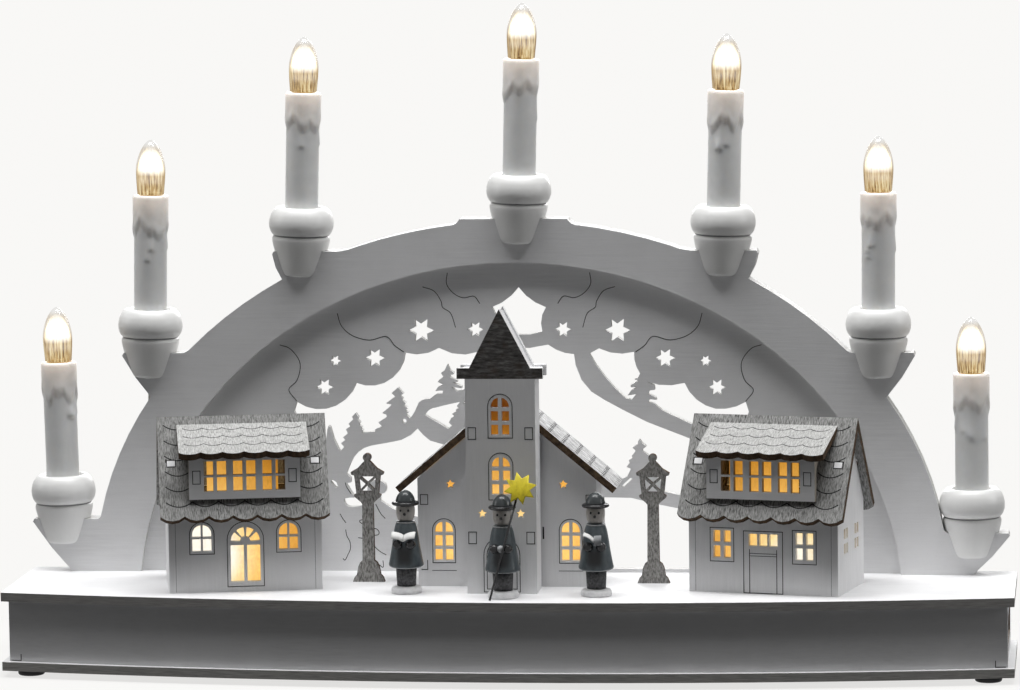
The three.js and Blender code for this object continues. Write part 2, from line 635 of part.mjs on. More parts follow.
const firHigh = [
  [-38.3, 81.1], [-35.4, 81.3], [-35.1, 82.8], [-38.6, 82.6], [-37.4, 84.4], [-35, 85.5], [-37.4, 86.7],
  [-36.8, 87.6], [-34.9, 89.1], [-35.9, 90.8], [-34.2, 92], [-32.9, 94.7], [-31.8, 92], [-29.9, 90.8],
  [-30.4, 90], [-32.4, 90.1], [-31.4, 88.5], [-28.5, 87.6], [-28.5, 86.7], [-30.7, 86.5], [-26.6, 84.7],
  [-26.6, 83.8], [-31.3, 84.5], [-28.8, 82.4], [-24.4, 83.5],
];
const firRight = [
  [48.2, 43.6], [49, 45.2], [50, 47.3], [48, 48.1], [49.5, 50], [49.1, 51.2], [50.8, 52], [50.5, 53.2],
  [52.1, 55.1], [52, 55.7], [50.8, 56.9], [53.3, 58.5], [53.4, 59.6], [54, 60.7], [55.2, 58.9],
  [57.2, 57.5], [55.3, 56], [55.4, 55.1], [58.4, 53.2], [59.6, 51.4], [58, 50.2], [61, 47.6],
  [59.6, 46.2], [62.4, 43], [64.2, 40.4], [64.9, 36.8],
];

// The wide opening of sky that runs from the left house behind the spire to the right house
function skyOpening() {
  const hem = cloudHem;
  return [
    [-103.6, 73.2], hem.outerCusp, arc(hem.dip1, hem.cusp1), arc(hem.dip2, hem.cusp2),
    arc(hem.dip3, hem.cusp3), arc(hem.dip4, hem.cusp4), [-4.8, 102.2], [4.8, 102.2], across(hem.cusp4),
    arc([18.6, 100.6], [24.8, 99.4]), [25.5, 94.4], [28.1, 87.6], [32.5, 82.3], [38.5, 78.5], [46.8, 74],
    [57.3, 68.7], [67.8, 64.6], [76.5, 61.2], [84, 58.5], [84, 34.2], [71.3, 35.5],
    ...[...firRight].reverse(), [44, 42], [15, 58], [-8, 62], [-14, 84.6], ...[...firHigh].reverse(),
    [-39.3, 80.4], [-41, 79.1], [-44.2, 78.7], [-46.2, 77.4], [-48, 73.5], [-49.5, 71.1],
    ...[...firTall].reverse(), ...[...firNear].reverse(), [-85.4, 60.3], [-87, 65.9], [-87.7, 66.7],
    [-88.3, 65.2], [-89.3, 58], [-96, 57],
  ];
}

// The gap behind the tip of the spire
function crownOpening() {
  return [
    [0, 129.8], arc([7.3, 123], [12.3, 120.7]), arc([10.1, 115], [10.6, 109.6]), [4.9, 108.3],
    [-4.9, 108.3], [-10.6, 109.6], arc([-10.1, 115], [-12.3, 120.7]), arc([-7.3, 123], [0, 129.8]),
  ];
}

// Between the clouds and the bough on the right, left of the fir
function boughOpening() {
  return [
    [36.2, 102], arc([45, 99.6], [52, 100.4]), arc([52.6, 94.8], [54.6, 90.6]), [53.6, 88.6], [52, 87.9],
    [53.8, 87.3], [50.3, 85.4], [50.4, 84.3], [53.2, 84.4], [50.6, 83], [48.8, 80.6], [52.8, 81.2],
    [50.7, 78.7], [48, 79.3], [42.7, 84.4], [38.2, 89.7], [34.3, 95], [31.8, 99.6],
  ];
}

// Right of that fir, on behind the right house
function valleyOpening() {
  return [
    [57.3, 87], arc([66.5, 85.2], across(cloudHem.cusp1)), arc([81, 78], [88.6, 74.6]),
    arc([95.5, 75], across(cloudHem.outerCusp)), [103.6, 73.2], [96, 57], [84, 64.6], [77.6, 67.7],
    [64.7, 73.7], [60.9, 76.8], [58.3, 77.6], [58.6, 78.9], [62, 78.6], [61.6, 79.7], [58.3, 81.2],
    [58.6, 82.8], [61.2, 83.2], [61, 85.2],
  ];
}

function hollowOpening() {
  return [
    [-43.6, 71.6], arc([-41.6, 73.9], [-38, 75.1]), [-34.8, 76], [-27.4, 77.6], [-28.9, 75.7],
    [-28, 74.8], [-29.4, 74], [-29, 73.1], [-31.2, 72.1], [-30, 71.1], [-31.6, 70.1], [-32.6, 68.2],
    [-31.2, 66.7], [-33, 65.4],
  ];
}

// Behind the left lamp post, with the lobe of a bush in front of it
function lanternOpening() {
  return [
    [-80, 44.6], [-78.2, 49], arc([-75.2, 53.8], [-68.3, 57.6]), [-61.4, 58.8], [-54.5, 60.2],
    [-50.1, 62.4], [-46.9, 65.4], [-44.5, 62.6], [-41.3, 59.9], [-34.8, 58.1], [-34, 30], [-46, 24.6],
    [-52, 26.2], [-58.9, 28.6], [-64.6, 32.4], [-64.6, 35.4], [-62.6, 35.8],
    arc([-61.8, 38.6], [-64.6, 41.4]), arc([-68, 41.6], [-70.4, 37.6]), [-70.6, 31], [-73.6, 30],
    [-77.4, 29.5], arc([-80.6, 30.6], [-81.2, 33.2]), [-78.5, 33.7], [-76.2, 33.6], [-78, 36.4],
    [-80.3, 40.2], [-78, 40.6], [-78, 42.8],
  ];
}

function doorwayOpening() {
  return [[37.5, 1.5], [84, 1.5], [84, 27.6], [70.6, 29.4], [61.9, 31.1], arc([50, 34], [37.5, 34.2])];
}

const smallOpenings = [
  [[-25.9, 76.8], [-25.2, 78.4], [-24.2, 78.7], [-23.6, 75.6]],
  [[-87.4, 41.2], [-86.2, 41.8], [-84.6, 40.8], [-83.8, 38.4], [-85.2, 38.4]],
  [[50.7, 42.6], [49.8, 43], [47.6, 41.2], [45.6, 39.1], [46.6, 38.8], [48.6, 40.6]],
];
const BERRY = { x: -53, z: 68.8, radius: 1.1 };
const STARS = [[19.9, 110.6, 3.85], [44.6, 110.2, 5.9], [66, 97.6, 4.65], [84.2, 96.3, 2.8],
  [89.3, 84.3, 4.1]];
const starWaist = 0.52;

function silhouettePanel() {
  const sheet = join(upright(points(archEdge()), -2 * PLY, PLY), tab(-1, 0, 0), tab(1, 0, 0));
  const through = (outline) => upright(outline, -2 * PLY - OVER, PLY + 2 * OVER).translate(PATTERN_SHIFT,
    0, 0);
  const openings = [skyOpening(), crownOpening(), boughOpening(), valleyOpening(), hollowOpening(),
    lanternOpening(),
    doorwayOpening(), ...smallOpenings].map((steps) => through(traced(steps)));
  const stars = STARS.flatMap(([x, z, r]) => [x, -x].map((at) => through(star(at, z, r, 6, starWaist, 0))));
  const berry = through(star(BERRY.x, BERRY.z, BERRY.radius, 4, 1, 0));
  return cut(sheet, ...openings, ...stars, berry, ...wireGrooves());
}

// Wiring: a run round the arch in a groove of the panel's back, a branch to each candle along its
// axis, a bus under the top plate, and leads to the tray, the switch and the lights in the village
const wireY = -PLY - WIRE.depth;
const wireLowZ = 12;
const wireFootX = () => ellipseX(ARCH.wire, 0);

// The run as one bent wire, from the bus at the right foot over the crown to the left foot
function wireRun() {
  const rise = ellipseRun(ARCH.wire, wireLowZ, ARCH.wire.b - ARCH.wire.drop, WIRE.stepDegrees);
  const route = [[wireFootX(), -WIRE.busDrop], [wireFootX(), 0], ...rise, ...mirrored(rise).slice(1)];
  const path = new THREE.CurvePath();
  for (let i = 1; i < route.length; i += 1) {
    const [from, to] = [route[i - 1], route[i]].map(([x, z]) => new THREE.Vector3(x, wireY, z));
    path.add(new THREE.LineCurve3(from, to));
  }
  const section = star(0, 0, WIRE.radius, WIRE.sides / 2, 1, 0);
  const options = { extrudePath: path, steps: WIRE.runSteps, bevelEnabled: false };
  return new THREE.ExtrudeGeometry(new THREE.Shape(section), options);
}

// The place where a candle's axis meets the run, or the turn of the branch in a foot of the arch
function branchFoot(seat) {
  const slope = Math.tan(radians(seat.lean));
  if (Math.abs(seat.x) > ARCH.wire.a) return [seat.x - slope * (seat.ledge - wireLowZ), wireLowZ];
  let z = seat.ledge;
  for (let i = 0; i < 8; i += 1) z = ellipseZ(ARCH.wire, seat.x - slope * (seat.ledge - z));
  return [seat.x - slope * (seat.ledge - z), z];
}

function branchLines() {
  const lines = [];
  for (const seat of SEATS) {
    const [x, z] = branchFoot(seat);
    lines.push([[x, z], [seat.x, seat.ledge]]);
    if (Math.abs(seat.x) > ARCH.wire.a) lines.push([[x, z], [Math.sign(x) * wireFootX(), z]]);
  }
  return lines;
}

// A groove as wide as the wire and its gaps for the run, and one for each branch
function wireGrooves() {
  const half = WIRE.groove;
  const grow = ({ a, b, drop }, by) => ({ a: a + by, b: b + by, drop });
  const edge = (by) => {
    const side = ellipseRun(grow(ARCH.wire, by), 0, ARCH.wire.b + by - ARCH.wire.drop, WIRE.stepDegrees);
    return [[side[0][0], -OVER], ...side, ...mirrored(side).slice(1), [-side[0][0], -OVER]];
  };
  const front = -PLY - 2 * WIRE.depth + 0.1;
  const band = upright(points([...edge(half), ...edge(-half).reverse()]), front, -PLY + OVER - front);
  const straight = branchLines().map(([from, to]) => {
    const angle = Math.atan2(to[1] - from[1], to[0] - from[0]);
    const length = Math.hypot(to[0] - from[0], to[1] - from[1]);
    const groove = block(-half, length + half, front, -PLY + OVER, -half, half);
    return groove.rotateY(-angle).translate(from[0], 0, from[1]);
  });
  return [band, ...straight];
}

// Turns a place in a house's own frame into one on the stage
function onStage(side, x, y) {
  const turn = radians(-side * HOUSE.turn);
  return [
    side * HOUSE.middle + x * Math.cos(turn) - y * Math.sin(turn),
    -HOUSE.front + x * Math.sin(turn) + y * Math.cos(turn),
  ];
}

function ledPlaces() {
  return [onStage(-1, -18, 10), [0, -62], [0, -38], onStage(1, 15, 10)];
}

// Both ends of a stretch, moved apart so that stretches meeting at a bend join up
function longer(from, to, by) {
  const a = new THREE.Vector3(...from);
  const b = new THREE.Vector3(...to);
  const step = b.clone().sub(a).normalize().multiplyScalar(by);
  return [a.sub(step).toArray(), b.add(step).toArray()];
}

function ledDome() {
  const { radius, height, collar } = LED;
  return turned([[0, -collar], [radius, -collar], [radius, height - radius],
    [radius * 0.7, height - radius * 0.3], [0, height]], 8);
}

const wire = (from, to) => bar(from, to, WIRE.radius, WIRE.sides);

// Straight stretches of wire along a route of places
function laid(route) {
  return route.slice(1).map((at, i) => wire(...longer(route[i], at, WIRE.radius / 2)));
}

// The lead that stands in a candle, up to the foot of its bulb
function candleLead(seat) {
  const lean = radians(seat.lean);
  const end = CANDLE.top - CANDLE.socket;
  const tip = [seat.x + end * Math.sin(lean), seatY, seat.ledge + end * Math.cos(lean)];
  return wire([seat.x, wireY, seat.ledge], tip);
}

// The bus under the top plate, with a lead and a dome for each light in the village
function villageLeads(bus, busZ) {
  const leds = ledPlaces();
  const parts = laid([[wireFootX(), wireY, busZ], [wireFootX(), bus, busZ], [leds[0][0], bus, busZ]]);
  for (const [x, y] of leds) {
    parts.push(...laid([[x, bus, busZ], [x, y, busZ]]), wire([x, y, busZ], [x, y, LED.rise]));
    parts.push(ledDome().translate(x, y, LED.rise));
  }
  return parts;
}

// The leads to the contact plate behind the cells and to the back of the switch
function supplyLeads(bus, busZ) {
  const y = -END_WINDOW.middle;
  const plateX = bay.x0 + FIT;
  const plateHalf = CELL.pitch / 2 + CONTACT.past;
  const dropX = trayOut.x0 - 3 * TRAY.flange;
  const switchX = chamber.x0 - FIT - WIRE.radius;
  return [
    ...laid([[dropX, bus, busZ], [dropX, y, busZ], [dropX, y, cellZ], [plateX, y, cellZ]]),
    block(plateX, plateX + CONTACT.thick, y - plateHalf, y + plateHalf,
      cellZ - CONTACT.halfHeight, cellZ + CONTACT.halfHeight),
    ...laid([[wireFootX(), bus, busZ], [switchX, bus, busZ], [switchX, y, busZ],
      [switchX, y, switchZ + CONTACT.halfHeight]]),
  ];
}

function wiringLoom() {
  const [bus, busZ] = [-WIRE.busDepth, -WIRE.busDrop];
  const branches = branchLines().flatMap((line) => laid(line.map(([x, z]) => [x, wireY, z])));
  return join(wireRun(), ...branches, ...SEATS.map(candleLead), ...villageLeads(bus, busZ),
    ...supplyLeads(bus, busZ));
}

function arch() {
  return group(
    piece("arch_ring_front", archRing(-3 * PLY), finishes.whitePaint),
    piece("silhouette_panel", silhouettePanel(), finishes.whitePaint),
    piece("arch_ring_back", archRing(-PLY), finishes.whitePaint),
    piece("wiring_loom", wiringLoom(), finishes.wire),
  );
}

// Candles, each in the leaning frame of its seat: z = 0 on the ledge
function cup(seat) {
  const { below, belt, floor, rim, hole, edge, sides } = CUP;
  const bore = CANDLE.radius + FIT;
  const body = turned([[hole, -below], ...edge, [bore, rim - 2.3], [bore, floor], [hole, floor],
    [hole, -below]], sides);
  const lean = radians(seat.lean);
  const half = archDepth / 2 + GLUE;
  const reach = 2 * belt;
  // the slot is cut square to the arch, so it is turned back by the lean
  const slot = block(-reach, reach, -half, half, -2 * below, GLUE).rotateY(-lean);
  // beside the ledge the cup is eased to the rising edge of the arch
  const easing = upright(points(archEdge()), -half, 2 * half)
    .translate(Math.sign(seat.x) * FIT - seat.x, 0, GLUE - seat.ledge).rotateY(-lean);
  return cut(body, slot, easing);
}

function candle() {
  const { sides, radius, collar, collarHeight, edge, top, wall, socket, web } = CANDLE;
  const foot = CUP.floor + FIT;
  const seat = top - socket;
  const inner = radius - wall;
  return turned([[inner, foot], [radius, foot], [radius, top - collarHeight - edge],
    [collar, top - collarHeight],
    [collar, top - edge], [radius, top], [BULB.bore, top], [BULB.bore, seat], [WIRE.hole, seat],
    [WIRE.hole, seat - web], [inner, seat - web], [inner, foot]], sides);
}

function bulb() {
  const { capRadius, tipRadius, tipHeight, glass, sides } = BULB;
  const rim = CANDLE.top;
  const foot = rim - CANDLE.socket + FIT;
  const cap = [[0, foot], [tipRadius, foot], [capRadius, foot + tipHeight], [capRadius, rim + FIT]];
  return turned([...cap, ...glass.map(([r, z]) => [r, rim + z])], sides);
}

function candleAt(seat, index) {
  const number = index + 1;
  const stand = group(
    piece(`cup_${number}`, cup(seat), finishes.gloss),
    piece(`candle_${number}`, candle(), finishes.wax),
    piece(`bulb_${number}`, bulb(), finishes.glow),
  );
  stand.position.set(seat.x, seatY, seat.ledge);
  stand.rotation.y = radians(seat.lean);
  return stand;
}

// Height of the top face of a house's front roof leaf at a depth
const houseTop = (y) => HOUSE.ridge + (y - HOUSE.depth / 2) * Math.tan(radians(HOUSE.pitch));
const plumb = (thickness, pitch) => thickness / Math.cos(radians(pitch));

// The rounded lobes of shingles along an eave, drawn from the left end to the right one
function scallopedEdge(half, count, dropBy, eave) {
  const pitch = (2 * half) / count;
  const steps = [[-half, eave]];
  for (let i = 0; i < count; i += 1) {
    const x = -half + pitch * i;
    steps.push(arc([x + pitch / 2, eave - dropBy], [x + pitch, eave]));
  }
  return steps;
}

// Lays a sheet drawn in x and distance up the slope onto a slope that rises towards +Y
function onSlope(sheet, pitch, y, z) {
  return sheet.rotateX(radians(pitch)).translate(0, y, z);
}

function houseRoofLeaf() {
  const { roofHalf, scallops, scallopDrop, pitch, overhang, depth, ridge, width, pegHeight, peg } = HOUSE;
  const slope = radians(pitch);
  const length = (depth / 2 + overhang) / Math.cos(slope);
  const eave = scallopedEdge(roofHalf, scallops, scallopDrop, scallopDrop);
  const outline = traced([...eave, [roofHalf, length], [-roofHalf, length]], SCALLOP_STEP);
  const leaf = onSlope(level(outline, -THIN, THIN), pitch, -overhang, houseTop(-overhang));
  const beyondRidge = block(-roofHalf - OVER, roofHalf + OVER, depth / 2 - GLUE / 2, depth, 0,
    ridge + 2 * THIN);
  const up = (ridge - pegHeight) / Math.sin(slope);
  const half = peg / 2 + FIT;
  const holes = [-1, 1].map((side) => {
    const x = (side * (width - THIN)) / 2;
    const hole = block(x - half, x + half, length - up - half, length - up + half, -THIN - OVER, OVER);
    return onSlope(hole, pitch, -overhang, houseTop(-overhang));
  });
  return cut(leaf, beyondRidge, ...holes);
}

function dormerOpening() {
  const { openHalf, openLow, openHigh } = DORMER;
  return block(-openHalf, openHalf, -HOUSE.overhang, HOUSE.depth / 2 - THIN, openLow, openHigh);
}

function behind(geometry) {
  return geometry.rotateZ(Math.PI).translate(0, HOUSE.depth, 0);
}

// Walls of a house: one shell with gables, open below, and a peg on each gable edge that shows
// through the roof leaf
function houseWalls(windows) {
  const { width, depth, ridge, pitch, pegHeight, peg } = HOUSE;
  const under = plumb(THIN, pitch) + GLUE * 2;
  const eave = houseTop(0) - under;
  const gable = points([[0, 0], [depth, 0], [depth, eave], [depth / 2, ridge - under], [0, eave]]);
  const shell = endwise(gable, -width / 2, width / 2);
  const room = block(-width / 2 + THIN, width / 2 - THIN, THIN, depth - THIN, -OVER, ridge);
  const up = (ridge - pegHeight) / Math.sin(radians(pitch));
  const half = THIN / 2;
  const pegs = [-1, 1].map((side) => {
    const x = (side * (width - THIN)) / 2;
    const one = block(x - half, x + half, -up - peg / 2, -up + peg / 2, -THIN - 2, 0);
    return one.rotateX(radians(pitch)).translate(0, depth / 2, ridge);
  });
  return cut(join(cut(shell, room), ...pegs), ...windows);
}

// An opening through a front wall, or any wall of thin sheet whose front is at a depth
const frontCut = (outline, front = 0) => upright(outline, front - OVER, THIN + 2 * OVER);

function grid(xs, zs) {
  return xs.flatMap(([x0, x1]) => zs.map(([z0, z1]) => rectangle(x0, x1, z0, z1)));
}

// The panes on both sides of an upright bar
const bothSides = (x, half, bar) => [[x - half, x - bar / 2], [x + bar / 2, x + half]];

// Windows with an arched head: pairs of panes in rows, the top pair rounded
function archedWindows({ middles, half, low, high, rows, bar }) {
  const rowHigh = (high - low - bar * (rows - 1)) / rows;
  const spring = high - half;
  const top = high - rowHigh;
  return middles.flatMap((middle) => {
    const panes = [];
    for (let row = 0; row < rows - 1; row += 1) {
      const z = low + row * (rowHigh + bar);
      panes.push(...grid(bothSides(middle, half, bar), [[z, z + rowHigh]]));
    }
    for (const side of [-1, 1]) {
      const at = (x, z) => [middle + side * x, z];
      panes.push(traced([at(bar / 2, top), at(half, top), at(half, Math.max(spring, top + 0.2)),
        arc(at(half * 0.72, spring + half * 0.7), at(bar / 2, high - 0.15))], HEAD_STEP));
    }
    return panes;
  });
}

// A double door under a fan of panes that spread from a hub
function fanDoor({ half, low, high, bar, hub, rays }) {
  const spring = high - half;
  const panes = grid(bothSides(0, half, bar), [[low, spring - bar]]);
  for (const side of [1, -1]) {
    const at = (r, degrees) => [side * r * Math.cos(radians(degrees)),
      spring + r * Math.sin(radians(degrees))];
    for (const [from, to] of rays) {
      const rim = arc(at(half, (from + to) / 2), at(half, to));
      panes.push(traced([at(hub, from), at(half, from), rim, at(hub, to)], HEAD_STEP));
    }
  }
  return panes;
}

function leftHouseWindows() {
  return [...archedWindows(LEFT_WINDOW), ...fanDoor(LEFT_DOOR)].map((pane) => frontCut(pane));
}

function rightHouseWindows() {
  const pairs = ({ middles, half, bar, rows }) => middles.flatMap((x) => grid(bothSides(x, half, bar),
    rows));
  const front = [...pairs(RIGHT_WINDOW), ...grid(RIGHT_TRANSOM.columns, RIGHT_TRANSOM.rows)];
  const x = HOUSE.width / 2 - THIN;
  const gable = pairs(GABLE_WINDOW).map((pane) => endwise(pane, x - OVER, x + THIN + OVER));
  return [...front.map((pane) => frontCut(pane)), ...gable];
}

const dormerTop = (y) => DORMER.eaveTop + (y + DORMER.eaveOut) * Math.tan(radians(DORMER.pitch));

// Everything under a slope that falls towards the front, as a cutter that leaves what is above it
function wedgeUnder(topAt, y0, y1, half, lift) {
  const deep = -2 * HOUSE.ridge;
  return endwise(points([[y0, deep], [y1, deep], [y1, topAt(y1) + lift],
    [y0, topAt(y0) + lift]]), -half, half);
}

function wedgeOver(topAt, y0, y1, half, lift) {
  const high = 3 * HOUSE.ridge;
  return endwise(points([[y0, topAt(y0) + lift], [y1, topAt(y1) + lift], [y1, high],
    [y0, high]]), -half, half);
}

// The dormer's panes: pairs side by side, in rows
function dormerPanes() {
  const { wide, high, pitch, pairs, pairPitch, rows, gap, sill } = PANES;
  const left = -((pairs - 1) * pairPitch + pitch + wide) / 2;
  const columns = [];
  for (let pane = 0; pane < 2 * pairs; pane += 1) {
    const x = left + Math.floor(pane / 2) * pairPitch + (pane % 2) * pitch;
    columns.push([x, x + wide]);
  }
  const heights = [];
  for (let row = 0; row < rows; row += 1) {
    const z = DORMER.bottom + sill + row * (high + gap);
    heights.push([z, z + high]);
  }
  return grid(columns, heights).map((pane) => frontCut(pane, -DORMER.out));
}

function dormer() {
  const { half, out, bottom, cheek, pitch } = DORMER;
  const under = -plumb(THIN, pitch) - 2 * GLUE;
  const back = HOUSE.depth / 2;
  const plate = block(-half, half, -out, -out + THIN, bottom, HOUSE.ridge);
  const cheeks = [-1, 1].map((side) => {
    const x = side * cheek;
    return block(x - THIN / 2, x + THIN / 2, -out + OVER, back, bottom, HOUSE.ridge);
  });
  const reach = half + OVER;
  const mainRoof = wedgeUnder(houseTop, -out - 2 * OVER, back + OVER, reach, 2 * GLUE);
  const lid = wedgeOver(dormerTop, -out - 2 * OVER, back + 2 * OVER, reach, under);
  return cut(join(plate, ...cheeks), mainRoof, lid, ...dormerPanes());
}

function dormerRoof() {
  const { roofHalf, scallops, scallopDrop, pitch, eaveOut } = DORMER;
  const eave = scallopedEdge(roofHalf, scallops, scallopDrop, scallopDrop);
  const outline = traced([...eave, [roofHalf, HOUSE.depth], [-roofHalf, HOUSE.depth]], SCALLOP_STEP);
  const sheet = onSlope(level(outline, -THIN, THIN), pitch, -eaveOut, dormerTop(-eaveOut));
  const ridge = HOUSE.depth / 2;
  const reach = roofHalf + OVER;
  const mainRoof = wedgeUnder(houseTop, -2 * eaveOut, ridge, reach, 2 * GLUE);
  const beyond = block(-reach, reach, ridge - OVER, 3 * HOUSE.depth, -HOUSE.ridge, 3 * HOUSE.ridge);
  return cut(sheet, mainRoof, beyond);
}

function house(side) {
  const name = side < 0 ? "left" : "right";
  const windows = side < 0 ? leftHouseWindows() : rightHouseWindows();
  const stand = group(
    piece(`house_${name}_walls`, houseWalls(windows), finishes.whitePaint),
    piece(`house_${name}_roof_front`, cut(houseRoofLeaf(), dormerOpening()), finishes.greyRoof),
    piece(`house_${name}_roof_back`, behind(houseRoofLeaf()), finishes.greyRoof),
    piece(`house_${name}_dormer`, dormer(), finishes.whitePaint),
    piece(`house_${name}_dormer_roof`, dormerRoof(), finishes.greyRoof),
  );
  stand.position.set(side * HOUSE.middle, -HOUSE.front, 0);
  stand.rotation.z = radians(-side * HOUSE.turn);
  return stand;
}

// Church
function starPair({ x, z, radius }) {
  return [-x, x].map((at) => star(at, z, radius, 5, CHURCH_STAR.waist, CHURCH_STAR.turn));
}

function nave() {
  const { half, front, depth, pitch, apex, roofThick, windows, stars } = NAVE;
  const eaveTop = apex - half * Math.tan(radians(pitch));
  const under = plumb(roofThick, pitch) + 2 * GLUE;
  const gable = (inset, foot, rise) => points([[-half + inset, foot], [half - inset, foot],
    [half - inset, eaveTop - under + rise], [0, apex - under + rise],
    [-half + inset, eaveTop - under + rise]]);
  const shell = upright(gable(0, 0, 0), -front, depth);
  const room = upright(gable(THIN, -OVER, 2 * THIN), -front + THIN, depth - 2 * THIN);
  const openings = [...archedWindows(windows), ...starPair(stars)].map((shape) => frontCut(shape, -front));
  return cut(cut(shell, room), ...openings);
}

function naveRoof() {
  const { front, depth, pitch, apex, eaveHalf, overhang, roofPast, roofThick, shingles, sawCut,
    sawDepth } = NAVE;
  const slope = radians(pitch);
  const eave = [eaveHalf, apex - eaveHalf * Math.tan(slope)];
  const eaveUnder = [eave[0] - roofThick * Math.sin(slope), eave[1] - roofThick * Math.cos(slope)];
  const right = [[0, apex], eave, eaveUnder, [0, apex - plumb(roofThick, pitch)]];
  const outline = points([...right, ...mirrored(right.slice(1, 3))]);
  const length = overhang + depth + roofPast;
  const y0 = -front - overhang;
  // saw cuts along each eave make the ends of its shingles
  const cuts = [];
  for (let i = 1; i < shingles; i += 1) {
    const y = y0 + (length * i) / shingles;
    const notch = () => block(eaveHalf - sawDepth, eaveHalf + 2 * sawDepth, y - sawCut / 2, y + sawCut / 2,
      eave[1] - 2 * roofThick, eave[1] + 2 * roofThick);
    cuts.push(notch(), notch().rotateZ(Math.PI).translate(0, 2 * y, 0));
  }
  return cut(upright(outline, y0, length), ...cuts);
}

function tower() {
  const { half, front, depth, height, upperWindow, lowerWindow, stars } = TOWER;
  const shell = block(-half, half, -front, -front + depth, 0, height);
  const room = block(-half + THIN, half - THIN, -front + THIN, -front + depth - THIN, -OVER, height + OVER);
  const shapes = [...archedWindows(upperWindow), ...archedWindows(lowerWindow), ...starPair(stars)];
  return cut(cut(shell, room), ...shapes.map((shape) => frontCut(shape, -front)));
}

// Two gable plates with ears, and the roof strips and eave strips between them
function spire() {
  const { earHalf, earHeight, shoulderHalf, apex, weld } = SPIRE;
  const z = TOWER.height;
  const half = [[earHalf, z], [earHalf, z + earHeight], [shoulderHalf, z + earHeight]];
  const gable = points([...half, [0, z + apex], ...mirrored(half)]);
  const plates = [0, TOWER.depth - THIN].map((back) => upright(gable, -TOWER.front + back, THIN));
  const strips = upright(spireStrips(z), -TOWER.front + THIN - weld, TOWER.depth - 2 * THIN + 2 * weld);
  return join(...plates, strips);
}

function spireStrips(z) {
  const { earHalf, earHeight, apex, stripThick, stripInset, stripDrop, stripShoulder } = SPIRE;
  const ear = earHalf - stripInset;
  const top = z + earHeight - stripDrop;
  const tip = z + apex - stripInset;
  const rise = tip - z - earHeight;
  const run = Math.hypot(SPIRE.shoulderHalf, rise);
  const across = (stripThick * run) / rise;
  const down = (stripThick * run) / SPIRE.shoulderHalf;
  const outside = [[ear, top - stripThick], [ear, top], [stripShoulder, top]];
  const inside = [[-stripShoulder + across, top - stripThick], [0, tip - down],
    [stripShoulder - across, top - stripThick]];
  return points([...outside, [0, tip], ...mirrored(outside), ...inside]);
}

function church() {
  return group(
    piece("church_nave", nave(), finishes.whitePaint),
    piece("church_nave_roof", naveRoof(), finishes.greyRoof),
    piece("church_tower", tower(), finishes.whitePaint),
    piece("church_spire", spire(), finishes.spireRoof),
  );
}

// A lamp post, with the four three-cornered panes of its lantern round two crossed bars
function lampPost(side) {
  const { x, y, edge, knobHeight, knobRadius, paneLow: low, paneHigh: high, lowHalf, highHalf,
    bar: thick } = LAMP;
  const outline = points([...edge, ...mirrored(edge)]);
  const knob = star(0, knobHeight, knobRadius, 12, 1, 0);
  const post = join(upright(outline, 0, THIN), upright(knob, 0, THIN));
  const mid = (low + high) / 2;
  const sidePane = [[lowHalf, low + thick], [highHalf, high - thick], [thick, mid]];
  const panes = [
    [[-lowHalf + thick, low], [lowHalf - thick, low], [0, mid - thick]],
    [[highHalf - thick, high], [-highHalf + thick, high], [0, mid + thick]],
    sidePane,
    mirrored(sidePane),
  ];
  return cut(post, ...panes.map((pane) => frontCut(points(pane)))).translate(side * x, -y, 0);
}

// Turned figures in long coats, each with its hands and what it holds
function figure(name) {
  const { sides, edge, hand, opened } = FIGURE;
  const hands = [-hand.x, hand.x].map((x) => ball(hand.radius, hand.sides, x, hand.y, hand.z));
  const body = join(turned(edge, sides), ...hands);
  return opened[name] ? join(body, ...openBook(opened[name])) : body;
}

// The two halves of a book in front of the hands
function openBook(openDegrees) {
  const { hand, page } = FIGURE;
  return [[0, page.wide], [-page.wide, 0]].map(([x0, x1]) => {
    const leaf = block(x0, x1, -page.thick / 2, page.thick / 2, -page.high / 2, page.high / 2);
    const swing = radians(x0 < 0 ? openDegrees : -openDegrees);
    return leaf.rotateY(swing).rotateX(radians(-page.tip)).translate(0, hand.y - page.ahead,
      hand.z + page.above);
  });
}

function starPole() {
  const { foot: low, top, radius, star: [x, z], starRadius, tips, waist, turn, thick } = STAR_POLE;
  const shape = star(x, z, starRadius, tips, waist, turn);
  return join(bar(low, top, radius, 8), upright(shape, top[1] - thick / 2, thick));
}

function village() {
  const figures = FIGURES.map(({ name, x, y }) =>
    piece(name, figure(name).translate(x, y, 0), finishes.figure));
  return group(
    house(-1),
    house(1),
    church(),
    piece("lamp_post_left", lampPost(-1), finishes.lampPost),
    piece("lamp_post_right", lampPost(1), finishes.lampPost),
    ...figures,
    piece("star_pole", starPole(), finishes.star),
  );
}

const stage = group(baseBox(), supply(), arch(), ...SEATS.map(candleAt), village());
stage.position.set(0, stageY, topZ);

export default group(stage);
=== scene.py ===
# %% [markdown]
# # A candle arch with a lit village
# The real object is a Christmas window lamp: seven electric candles stand on a stepped plywood arch,
# and two houses, a church, lamp posts and three turned figures stand on its box-shaped base. The CAD
# part is the fixed frame. This script gives every CAD piece its surface, and builds what CAD leaves
# plain: engraved lines, shingles, wax, fluted glass, window films, faces and paint.

# %% Load the frame
import json
import math

import bmesh
import bpy
import numpy as np
from mathutils import Matrix, Vector

